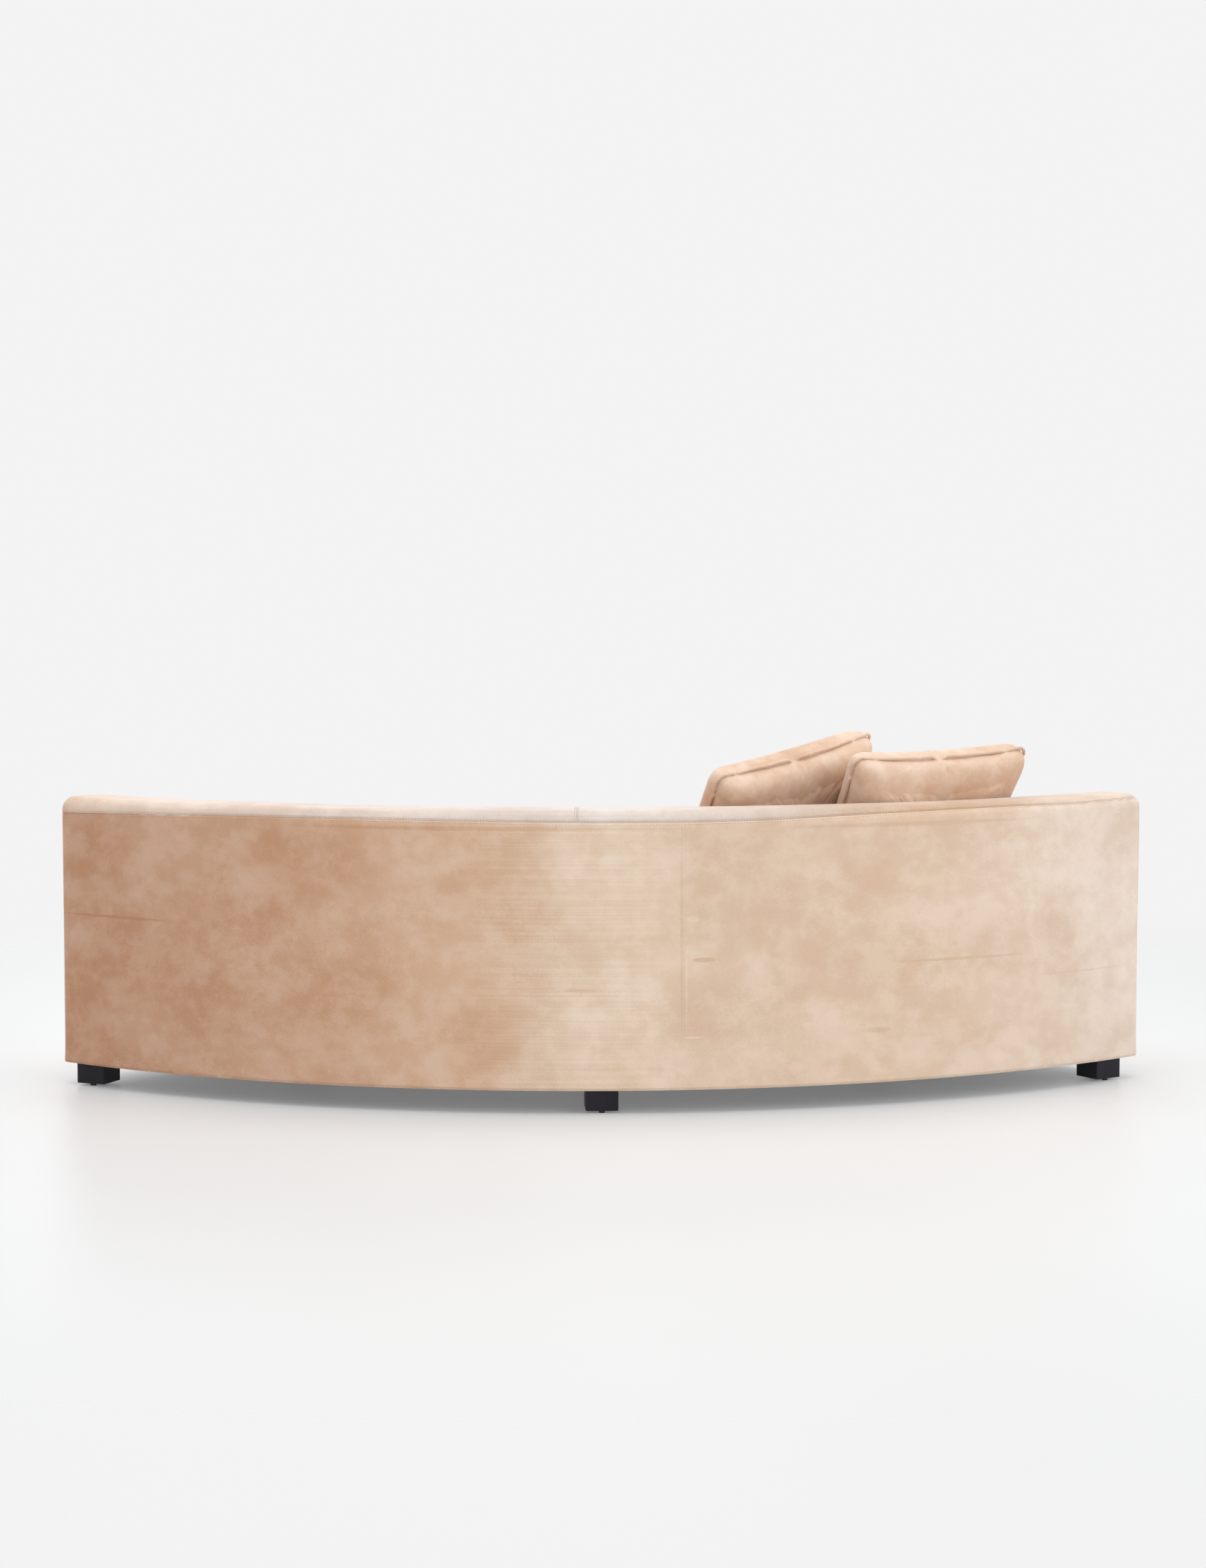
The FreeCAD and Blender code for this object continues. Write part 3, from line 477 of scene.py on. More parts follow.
HEM_ROLL = [(0.0012, 0.0035), (0.0014, 0.0005), (0.0004, -0.0016),
            (-0.0018, -0.0024), (-0.006, -0.0018), (-0.0125, -0.0006)]
rows = []
for place, way in footprint():
    flutter = 0.0006 * math.sin(31 * place[0] + 17 * place[1]) * math.sin(83 * place[0])
    rows.append([(*(place + way * (out + flutter)), FLOOR + up) for out, up in HEM_ROLL])
rows = np.array(rows + [rows[0]])
hem = cloth_mesh("turned_hem", rows.reshape(-1, 3), grid_faces(*rows.shape[:2]))
MIDWAY = 1.8
thicken(hem, lambda c: Vector((c.x, c.y - AXIS_Y, 0)) * (1 if math.hypot(c.x, c.y - AXIS_Y) > MIDWAY else -1),
        0.0010)
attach(hem, "frame")

u, v = np.meshgrid(np.linspace(-1, 1, 160), np.linspace(0, 1, 40), indexing="ij")
radius = FRONT + 0.006 + v * (BACK - FRONT - 0.012)
angle = u * (HALF - np.arcsin(0.008 / radius))
sag = 0.0025 * np.sin(math.pi * v) * (0.6 + 0.4 * np.cos(9 * math.pi * u)) + 0.0004 * np.sin(90 * u + 11 * v)
points = spot(radius, angle, FLOOR + 0.0006 - sag)
dust = cloth_mesh("dust_cloth", points.reshape(-1, 3), grid_faces(160, 40))
thicken(dust, lambda c: Vector((0, 0, -1)), 0.0004)
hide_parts("dust_cover")
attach(dust, "frame")

# %% [markdown]
# ## Stitches
# A topstitch is thread that dips in and out of the cloth, so what shows is a row of short raised
# dashes. Each dash is a small six-sided grain laid on the same relief as the cloth. One mesh holds a
# whole row, which is light enough to keep hundreds of stitches.

# %% Thread
def stitches(name, path, normals, length=0.0055, gap=0.0022, thickness=0.00045):
    """Dashes of thread along a line of points, with the cloth's outward direction at each."""
    steps = np.r_[0, np.cumsum(np.linalg.norm(np.diff(path, axis=0), axis=1))]
    count = int(steps[-1] / (length + gap))
    points, faces = [], []
    for k in range(count):
        marks = (k * (length + gap) + gap / 2) + np.linspace(0, length, 4)
        places = np.stack([np.interp(marks, steps, path[:, i]) for i in range(3)], -1)
        up = np.stack([np.interp(marks, steps, normals[:, i]) for i in range(3)], -1)
        up /= np.linalg.norm(up, axis=1)[:, None]
        way = places[-1] - places[0]
        way /= np.linalg.norm(way)
        side = np.cross(up, way)
        rise, width = np.array([-0.0004, 0.0003, 0.0003, -0.0004]), thickness * np.array([0.5, 1, 1, 0.5])
        start = len(points)
        for i in range(4):
            for turn in np.arange(6) * math.pi / 3:
                high, wide = rise[i] + width[i] * math.sin(turn), width[i] * math.cos(turn)
                points.append(places[i] + up[i] * high + side[i] * wide)
        for i in range(3):
            here, ahead = start + i * 6, start + (i + 1) * 6
            faces += [[here + j, here + (j + 1) % 6, ahead + (j + 1) % 6, ahead + j] for j in range(6)]
    piece = cloth_mesh(name, points, faces)
    print(name, count, "stitches")
    return piece


def on_cloth(run, angle):
    """Points and outward directions on the cloth."""
    depth = (HALF - np.abs(angle)) * BACK
    points = laid(run, angle, depth)
    _, _, out_r, out_z = across(run)
    ahead = spot(out_r, angle, out_z) - np.array([0, AXIS_Y, 0])
    return points, ahead


sweep = np.linspace(-HALF + 0.006, HALF - 0.006, 1400)
threads = []
for label, offset in (("below", 0.0048), ("above", -0.0048)):
    threads.append(stitches(f"outer_topstitch_{label}", *on_cloth(outer_seam(sweep) + offset, sweep)))
    threads.append(stitches(f"inner_topstitch_{label}", *on_cloth(INNER_SEAM + offset + 0 * sweep, sweep)))
threads.append(stitches("border_topstitch", *on_cloth(BORDER_SEAM + 0.0048 + 0 * sweep, sweep)))
for label, offset in (("left", -0.0045), ("right", 0.0045), ("middle", 0.0)):
    run = np.linspace(INNER_SEAM + 0.004, float(outer_seam(BAND_JOIN)) - 0.004, 90)
    join = np.full(90, BAND_JOIN + offset / BACK)
    threads.append(stitches(f"band_join_stitch_{label}", *on_cloth(run, join)))
for thread in threads:
    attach(thread, "frame")

# %% [markdown]
# ## Stuffed pieces by cloth simulation
# A cushion is cloth blown up from within by its filling. So each one starts as its own plain shape, a
# little too small, is turned into an even net of points, and is inflated by Blender's cloth for a few
# frames. How far a point may travel is capped, and nothing may stand more than about a millimetre
# proud of the solid it dresses, so the cushions stay clear of their neighbours. Only the tips of the
# pillows' corners are drawn out a little further afterwards.

# %% Inflate
def inflate(piece, voxel, cap, pressure, frames):
    remesh = piece.modifiers.new("net", "REMESH")
    remesh.mode, remesh.voxel_size = "VOXEL", voxel
    piece = applied(piece)
    start = corners_of(piece)
    cloth = piece.modifiers.new("stuffing", "CLOTH")
    cloth.settings.quality = 4
    cloth.settings.use_pressure = True
    cloth.settings.uniform_pressure_force = pressure
    cloth.settings.effector_weights.gravity = 0
    cloth.settings.tension_stiffness = cloth.settings.compression_stiffness = 12
    cloth.settings.bending_stiffness = 0.6
    cloth.collision_settings.use_self_collision = False
    for number in range(1, frames + 1):
        bpy.context.scene.frame_set(number)
    piece = applied(piece)
    bpy.context.scene.frame_set(1)
    moved = corners_of(piece) - start
    length = np.linalg.norm(moved, axis=1)[:, None]
    place_corners(piece, start + moved * np.minimum(1, cap / np.maximum(length, 1e-9)))
    return piece


def applied(piece):
    """The piece with its modifiers made permanent."""
    graph = bpy.context.evaluated_depsgraph_get()
    mesh = bpy.data.meshes.new_from_object(piece.evaluated_get(graph))
    piece.modifiers.clear()
    old = piece.data
    piece.data = mesh
    bpy.data.meshes.remove(old)
    mesh.name = piece.name
    return piece


def corners_of(piece):
    flat = np.empty(len(piece.data.vertices) * 3, np.float32)
    piece.data.vertices.foreach_get("co", flat)
    return flat.reshape(-1, 3).astype(float)


def place_corners(piece, points):
    piece.data.vertices.foreach_set("co", np.asarray(points, np.float32).ravel())
    piece.data.update()


def directions_of(piece):
    flat = np.empty(len(piece.data.vertices) * 3, np.float32)
    piece.data.vertices.foreach_get("normal", flat)
    return flat.reshape(-1, 3).astype(float)


def keep_within(piece, node, allowed=0.001):
    """Draws points that stand proud of a solid back to it, so the cushion keeps its clearances."""
    solid = frame["nodes"][node].data
    tree = BVHTree.FromPolygons([v.co for v in solid.vertices], [p.vertices for p in solid.polygons])
    points = corners_of(piece)
    for i, point in enumerate(points):
        place, normal, _, away = tree.find_nearest(Vector(point))
        if (Vector(point) - place) @ normal > allowed:
            points[i] = place + normal * allowed
    place_corners(piece, points)


def finer(piece):
    piece.modifiers.new("fine", "SUBSURF").levels = 1
    piece = applied(piece)
    piece.data.shade_smooth()
    return piece


def press_line(piece, path, depth, width):
    """Sinks the surface along a line of points, as a seam does."""
    tree = tree_of(path)
    points, ways = corners_of(piece), directions_of(piece)
    away = np.array([tree.find(p)[2] for p in points])
    place_corners(piece, points - ways * (depth * np.exp(-(away / width) ** 2))[:, None])


def tube(name, path, radius, sides, wobble):
    """A round cord along a closed line of points."""
    path = np.asarray(path)
    ahead = np.roll(path, -1, 0) - np.roll(path, 1, 0)
    ahead /= np.linalg.norm(ahead, axis=1)[:, None]
    side = np.cross(ahead[0], [0.3, 0.2, 1.0])
    turns = np.arange(sides) * 2 * math.pi / sides
    rows = []
    for i, p in enumerate(path):
        side = side - ahead[i] * (side @ ahead[i])
        side /= np.linalg.norm(side)
        other = np.cross(ahead[i], side)
        size = radius * (1 + wobble * math.sin(0.9 * i) * math.sin(0.37 * i))
        rows.append(p + size * (np.cos(turns)[:, None] * side + np.sin(turns)[:, None] * other))
    return cloth_mesh(name, np.array(rows).reshape(-1, 3), ring_faces(len(path), sides, joined=True))


# %% [markdown]
# ## The seat cushions
# Two long curved cushions lie on the deck. A cushion's plain shape is a loft: flat below, swelling
# boxing at the sides and a crown that dies away at the ends. After the simulation its seams are
# pressed in along the top and bottom edges of the boxing, and a welt cord is laid in the top one.

# %% Seat cushions
SEAT_LOW, SEAT_TOP = DECK + 0.0005, DECK + 0.1245
SEAT_FRONT, SEAT_REAR = FRONT - 0.003, inside_back(DECK) - 0.008
SEAT_MIDDLE = (FRONT + BACK) / 2
SEAT_GAP, SEAT_SETBACK = 0.002, 0.006
BOXING_BULGE = 0.007
START_INSET = 0.006


def seat_ring(share, first, last, inset):
    """One section of a cushion as a loop of points, at a share of its sweep."""
    from_end = min(share, 1 - share)
    draw = 0.014 * max(0.0, 1 - from_end / 0.05) ** 2
    crown = 0.001 + 0.021 * math.sin(math.pi / 2 * min(1.0, from_end / 0.38))
    near, far = SEAT_FRONT + BOXING_BULGE + draw + inset, SEAT_REAR - BOXING_BULGE - draw - inset
    low, high = SEAT_LOW + inset * 0.4, SEAT_TOP - inset
    angle = first + (last - first) * share
    boxing = np.linspace(0, 1, 9)[1:-1]
    loop = [(r, low) for r in np.linspace(near, far, 26)]
    loop += [(far + BOXING_BULGE * math.sin(math.pi * k), low + (high - low) * k) for k in boxing]
    loop += [(r, high + crown * (1 - ((2 * r - near - far) / (far - near)) ** 2))
             for r in np.linspace(far, near, 26)]
    loop += [(near - BOXING_BULGE * math.sin(math.pi * k), high - (high - low) * k) for k in boxing]
    return spot(np.array([p[0] for p in loop]), np.full(len(loop), angle), np.array([p[1] for p in loop]))


def seat_edge(first, last, high):
    """The line of a boxing seam round a cushion, at its top or its bottom edge."""
    shares = np.linspace(0, 1, int((last - first) * SEAT_MIDDLE / 0.006))
    draw = 0.014 * np.maximum(0, 1 - np.minimum(shares, 1 - shares) / 0.05) ** 2
    turns = first + (last - first) * shares
    front = spot(SEAT_FRONT + BOXING_BULGE + draw, turns, high)
    rear = spot(SEAT_REAR - BOXING_BULGE - draw, turns, high)
    ends = [np.linspace(a, b, 110)[1:-1] for a, b in ((front[-1], rear[-1]), (rear[0], front[0]))]
    return np.r_[front, ends[0], rear[::-1], ends[1]]


def seat_span(side):
    """First and last angle of a cushion, from the gap in the middle to the open end."""
    return sorted((side * (SEAT_GAP / SEAT_MIDDLE), side * (HALF - SEAT_SETBACK / SEAT_MIDDLE)))


def seat_cushion(name, side):
    first, last = seat_span(side)
    edge = START_INSET / SEAT_MIDDLE
    near = [0, .004, .0125, .02, .03, .045, .06, .08]
    shares = near + list(np.linspace(.11, .89, 40)) + [.92, .94, .955, .97, .98, .9875, .996, 1]
    rings = np.array([seat_ring(s, first + edge, last - edge, START_INSET) for s in shares])
    faces = ring_faces(len(shares), rings.shape[1])
    piece = cloth_mesh(f"seat_cushion_{name}_velvet", rings.reshape(-1, 3), faces)
    piece = inflate(piece, 0.0105, 0.012, 5.0, 12)
    keep_within(piece, f"seat_cushion_cover_{name}")
    piece = finer(piece)
    lines = []
    for high in (SEAT_TOP, SEAT_LOW):
        tree = tree_of([vertex.co for vertex in piece.data.vertices])
        line = np.array([tree.find(p)[0] for p in seat_edge(first, last, high)])
        lines.append(sum(np.roll(line, k, 0) for k in range(-3, 4)) / 7)
        press_line(piece, lines[-1], 0.0035, 0.006)
    welt = tube(f"seat_cushion_{name}_welt", lines[0], 0.0034, 8, wobble=0.05)
    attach(piece, f"seat_cushion_{name}")
    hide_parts(f"seat_cushion_cover_{name}", f"seat_cushion_foam_{name}")
    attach(welt, f"seat_cushion_{name}")
    print(piece.name, len(piece.data.vertices), "points")


seat_cushion("left", -1)
seat_cushion("right", 1)

# %% [markdown]
# ## The pillows
# Each pillow is two squares sewn round a cord. It starts from a plump closed form whose sides draw in,
# is inflated, and then gets what a thread does to full velvet: short gathers that run in from the cord,
# a few long folds, and corners that nip in to small ears.

# %% Pillows
PILLOW, THICK, PULL, CORNER = 0.505, 0.168, 0.016, 0.034
CORD, CORD_OUT = 0.004, 0.0041
SEAT_CROWN = 0.022


def pillow_frame(from_end, twist, lean, roll, rise, stand_off):
    """The pillow's place: rolled in its own plane, leaned back, turned, and set on the seat."""
    tilt, spin = math.radians(lean), math.radians(roll)
    corner = CORNER + CORD_OUT
    reach = (PILLOW / 2 - CORNER) * (math.cos(spin) + math.sin(spin)) + corner
    height = SEAT_TOP + rise * SEAT_CROWN + reach * math.cos(tilt) + CORD
    radius = inside_back(TOP) - (TOP - height) * math.tan(tilt) - stand_off * THICK / 2 / math.cos(tilt)
    angle = math.radians(from_end) - HALF
    place = Vector(spot(np.array([radius]), np.array([angle]), height)[0])
    turn = Matrix.Rotation(-(angle + math.radians(twist)), 4, "Z")
    return Matrix.Translation(place) @ turn @ Matrix.Rotation(-tilt, 4, "X") @ Matrix.Rotation(spin, 4, "Y")


def outline_half(turn):
    """Distance from the pillow's middle to its rim in a direction."""
    x, z = abs(math.cos(turn)), abs(math.sin(turn))
    big, small = max(x, z), min(x, z)
    side = (PILLOW / 2 - PULL * (1 - (small / big) ** 2)) / big
    centre = PILLOW / 2 - CORNER
    tip = centre * (x + z) + math.sqrt(max(0, CORNER**2 - centre**2 * (x - z) ** 2))
    return min(side, tip)


RIM_TURNS = np.linspace(-math.pi, math.pi, 721)
RIM_REACH = [outline_half(turn) for turn in RIM_TURNS]


def pillow_shell(inset):
    """Both faces as rings that shrink from the rim to the middle."""
    turns = np.linspace(0, 2 * math.pi, 240, endpoint=False)
    rim = np.array([outline_half(t) for t in turns]) - inset
    rows = []
    for share in np.concatenate([-np.linspace(0.04, 1, 26), np.linspace(1, 0.04, 26)[1:]]):
        size = abs(share)
        depth = (THICK / 2 - inset) * (1 - size**3) ** (1 / 2.6) * (1 if share > 0 else -1)
        rows.append(np.stack([rim * size * np.cos(turns), 0 * turns - depth, rim * size * np.sin(turns)], -1))
    return np.array(rows).reshape(-1, 3), ring_faces(len(rows), len(turns))


def gathers(piece, seed, folds):
    """Short folds in from the cord, longer near corners, and the named long folds."""
    dice = np.random.default_rng(seed)
    points, ways = corners_of(piece), directions_of(piece)
    turn = np.arctan2(points[:, 2], points[:, 0])
    away = np.interp(turn, RIM_TURNS, RIM_REACH) - np.hypot(points[:, 0], points[:, 2])
    lift = 0 * turn
    for face in (-1, 1):
        here = 1 / (1 + np.exp(-points[:, 1] * face / 0.004))
        for _ in range(100):
            middle = dice.uniform(-math.pi, math.pi)
            corner = abs((middle % (math.pi / 2)) - math.pi / 4) < 0.30
            width = dice.uniform(0.014, 0.034) * (0.8 if corner else 1)
            length = dice.uniform(0.025, 0.08) * (1.6 if corner else 1)
            size = dice.uniform(-0.0070, 0.0020) * (1.5 if corner else 1)
            bend = dice.uniform(-0.5, 0.5)
            gone = np.angle(np.exp(1j * (turn - middle - bend * away)))
            fold = here * size * np.exp(-(gone / width) ** 2) * np.exp(-away / length)
            lift += fold * (1 - np.exp(-away / 0.004))
    for face, x0, z0, x1, z1, width, size in folds:
        a, b = np.array([x0, z0]), np.array([x1, z1])
        here = 1 / (1 + np.exp(-points[:, 1] * face / 0.004))
        flat = points[:, [0, 2]] - a
        share = np.clip(flat @ (b - a) / ((b - a) @ (b - a)), 0, 1)
        gone = np.linalg.norm(flat - share[:, None] * (b - a), axis=1)
        lift += here * size * np.exp(-(gone / width) ** 2) * np.sin(math.pi * (0.12 + 0.8 * share))
    lift -= 0.0016 * np.exp(-(away / 0.007) ** 2)
    place_corners(piece, points + ways * lift[:, None])


def ear(turn):
    """How far a corner's tip stands out beyond the round of the solid."""
    return 0.004 * np.exp(-(((turn % (math.pi / 2)) - math.pi / 4) / 0.055) ** 2)


def pillow(name, where, seed, folds):
    piece = cloth_mesh(f"{name}_velvet", *pillow_shell(START_INSET))
    piece = inflate(piece, 0.0056, 0.010, 6.0, 14)
    piece = finer(piece)
    gathers(piece, seed, folds)
    matrix = pillow_frame(*where)
    piece.data.transform(matrix)
    keep_within(piece, f"{name}_cover", 0.0012)
    piece.data.transform(matrix.inverted())
    points = corners_of(piece)
    turn = np.arctan2(points[:, 2], points[:, 0])
    rim = np.interp(turn, RIM_TURNS, RIM_REACH)
    near = np.clip(np.hypot(points[:, 0], points[:, 2]) / rim, 0, 1) ** 6 * (1.6 * ear(turn))
    place_corners(piece, points * (1 + near / rim)[:, None] ** [1, 0, 1])
    piece.data.transform(matrix)
    turns = np.linspace(0, 2 * math.pi, 420, endpoint=False)
    line = []
    for t in turns:
        far = outline_half(t) + CORD_OUT + float(ear(t))
        sway = 0.0012 * math.sin(5 * t + seed) + 0.0007 * math.sin(23 * t + seed)
        line.append(matrix @ Vector((far * math.cos(t), sway, far * math.sin(t))))
    cord = tube(f"{name}_welt", line, CORD + 0.0002, 12, wobble=0.06)
    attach(piece, name)
    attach(cord, name)
    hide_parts(f"{name}_cover", f"{name}_fill")
    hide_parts(f"{name}_piping")
    print(piece.name, len(piece.data.vertices), "points")


# A long fold: the face it is on, where it starts and ends on that face, its width and its height.
OUTER_FOLDS = [
    (1, .16, .235, .13, .17, .008, -.004), (1, .13, .238, .15, .19, .006, .003),
    (1, -.19, .21, -.10, .12, .010, .003), (1, -.215, .16, -.15, .06, .010, -.003),
    (1, -.22, .19, -.17, .13, .007, -.004), (-1, .1, .2, 0, .05, .02, .003),
]
INNER_FOLDS = [
    (1, .20, .20, .15, .11, .009, -.004), (1, .215, .17, .16, .07, .008, .0035),
    (1, .10, .235, .08, .15, .008, .003), (1, .02, .235, .03, .16, .007, -.003),
    (1, -.06, .235, -.05, .14, .009, .003), (-1, 0, .2, .05, .02, .03, .003),
]
pillow("pillow_outer", (14.73, 0.0, 34.6, 1.7, 1.305, 0.90), 3, OUTER_FOLDS)
pillow("pillow_inner", (26.0, -28.5, 38.3, 13.4, 0.995, 1.93), 5, INNER_FOLDS)

# %% [markdown]
# ## Zips
# A zip along the back of each seat cushion lets the foam out for cleaning. The tape is a flat woven
# band, and its coil is a row of small teeth, modelled one by one because they catch the light.

# %% Zip tape and teeth
def zip_pieces(name, side):
    low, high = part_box(f"seat_zip_{name}")
    first, last = seat_span(side)
    first, last = first + math.radians(5), last - math.radians(5)
    turns = np.linspace(first, last, 220)
    levels = np.linspace(low.z, high.z, 9)
    proud = 0.0004 + 0.0007 * np.abs(np.linspace(-1, 1, 9))
    rows = np.stack([spot(np.full(220, SEAT_REAR + p), turns, h) for p, h in zip(proud, levels)], 1)
    tape = thicken(cloth_mesh(f"zip_tape_{name}", rows.reshape(-1, 3), grid_faces(220, 9)),
                   lambda c: Vector((c.x, c.y - AXIS_Y, 0)), 0.0004)
    middle = (low.z + high.z) / 2
    points, faces = [], []
    for k, turn in enumerate(np.arange(first, last, 0.0025 / SEAT_REAR)):
        shift = 0.0006 * (1 if k % 2 else -1)
        wide = 0.0009 / SEAT_REAR
        start = len(points)
        for out in (0.0004, 0.0012):
            for way, h in ((-1, -.0019), (1, -.0019), (1, .0019), (-1, .0019)):
                t = np.array([turn + way * wide])
                points.append(spot(np.array([SEAT_REAR + out]), t, middle + h + shift)[0])
        faces += [[start, start + 1, start + 2, start + 3], [start + 4, start + 7, start + 6, start + 5]]
        faces += [[start + a, start + a + 4, start + (a + 1) % 4 + 4, start + (a + 1) % 4] for a in range(4)]
    teeth = cloth_mesh(f"zip_teeth_{name}", points, faces)
    teeth.data.shade_flat()
    for piece, finish in ((tape, "zip_tape"), (teeth, "zip_metal")):
        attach(piece, f"seat_cushion_{name}")
    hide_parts(f"seat_zip_{name}")
    print(tape.name, len(faces) // 6, "teeth")


zip_pieces("left", -1)
zip_pieces("right", 1)

# %% [markdown]
# ## Finishes
# Every finish is a small procedural material. Velvet is the one that matters: a warm base, and a pale
# sheen where the pile is seen edge on. Its pile leans one way here and another there, brushed by
# hands, so blotches and fine streaks of lighter pile are mixed into the base along the sofa's sweep.
# The left third of the back is darker in the picture, and the middle of the back and the top band paler. Some
# of that is light, and it is written into the base tones here as painted shade on the left and painted sheen
# in the pale middle and band, so it stays the same from every side.

# %% Materials
class Finish:
    """A material with short ways to add the nodes that every finish here needs."""

    def __init__(self, name, **values):
        self.material = bpy.data.materials.new(name)
        self.material.use_nodes = True
        self.tree = self.material.node_tree
        self.shader = self.tree.nodes["Principled BSDF"]
        for key, value in values.items():
            self.shader.inputs[key.replace("_", " ")].default_value = value
        self.place = self.add("ShaderNodeTexCoord").outputs["Object"]

    def add(self, kind, **settings):
        node = self.tree.nodes.new(kind)
        for key, value in settings.items():
            setattr(node, key, value)
        return node

    def join(self, start, end):
        self.tree.links.new(start, end)

    def math(self, what, a, b=0.0, clamp=False):
        node = self.add("ShaderNodeMath", operation=what, use_clamp=clamp)
        for socket, value in zip(node.inputs, (a, b)):
            if isinstance(value, (int, float)):
                socket.default_value = value
            else:
                self.join(value, socket)
        return node.outputs[0]

    def noise(self, scale, detail=3.0, stretch=(1, 1, 1), place=None, rough=0.5):
        mapping = self.add("ShaderNodeMapping")
        mapping.inputs["Scale"].default_value = stretch
        self.join(place or self.place, mapping.inputs["Vector"])
        node = self.add("ShaderNodeTexNoise")
        for key, value in (("Scale", scale), ("Detail", detail), ("Roughness", rough)):
            node.inputs[key].default_value = value
        self.join(mapping.outputs[0], node.inputs["Vector"])
        return node.outputs[0]

    def spread(self, value, low, high, start=0.0, end=1.0):
        node = self.add("ShaderNodeMapRange", interpolation_type="SMOOTHSTEP")
        for socket, number in zip(list(node.inputs)[1:5], (low, high, start, end)):
            socket.default_value = number
        self.join(value, node.inputs[0])
        return node.outputs[0]

    def mix(self, share, first, second, kind="MIX"):
        node = self.add("ShaderNodeMix", data_type="RGBA", blend_type=kind)
        for socket, value in ((node.inputs[0], share), (node.inputs[6], first), (node.inputs[7], second)):
            if isinstance(value, (tuple, float)):
                socket.default_value = (*value, 1) if isinstance(value, tuple) else value
            else:
                self.join(value, socket)
        return node.outputs[2]

    def bump(self, height, strength, distance=0.001):
        node = self.add("ShaderNodeBump")
        node.inputs["Strength"].default_value = strength
        node.inputs["Distance"].default_value = distance
        self.join(height, node.inputs["Height"])
        self.join(node.outputs[0], self.shader.inputs["Normal"])

    def colour(self, value):
        self.join(value, self.shader.inputs["Base Color"])
        return self.material


def sweep_place(finish):
    """The sofa's own coordinates: distance round the back, distance out, height."""
    axes = finish.add("ShaderNodeSeparateXYZ")
    finish.join(finish.place, axes.inputs[0])
    x, y, z = axes.outputs
    out = finish.math("SUBTRACT", y, AXIS_Y)
    turn = finish.math("ARCTAN2", x, out)
    square = finish.math("ADD", finish.math("MULTIPLY", x, x), finish.math("MULTIPLY", out, out))
    radius = finish.math("SQRT", square)
    joined = finish.add("ShaderNodeCombineXYZ")
    for value, socket in zip((finish.math("MULTIPLY", turn, BACK), radius, z), joined.inputs):
        finish.join(value, socket)
    return joined.outputs[0], turn, z


# Base colours round the back, from the left of the picture to the right, in degrees: the pile's tone, with
# painted shade in the darker left third and painted sheen in the pale middle.
BACK_TONES_WITH_PAINTED_LIGHT = [(39, (.59, .325, .19)), (22, (.64, .37, .22)), (9, (.73, .48, .31)), (2.2, (.85, .67, .50)),
              (-2, (.86, .69, .52)), (-5, (.80, .61, .45)), (-20, (.79, .60, .44)), (-39, (.85, .72, .61))]
# The top band's base colours, left to right in degrees: the pile's tone, with painted sheen in the paler,
# greyer stops round the middle.
BAND_TONES_WITH_PAINTED_SHEEN = [(39, (.80, .61, .47)), (20, (.73, .61, .53)), (0, (.72, .65, .59)), (-12, (.69, .58, .49)),
              (-21, (.62, .44, .30)), (-39, (.81, .69, .58))]
PLAIN_TONES = [(39, (.70, .47, .33)), (-39, (.80, .60, .45))]


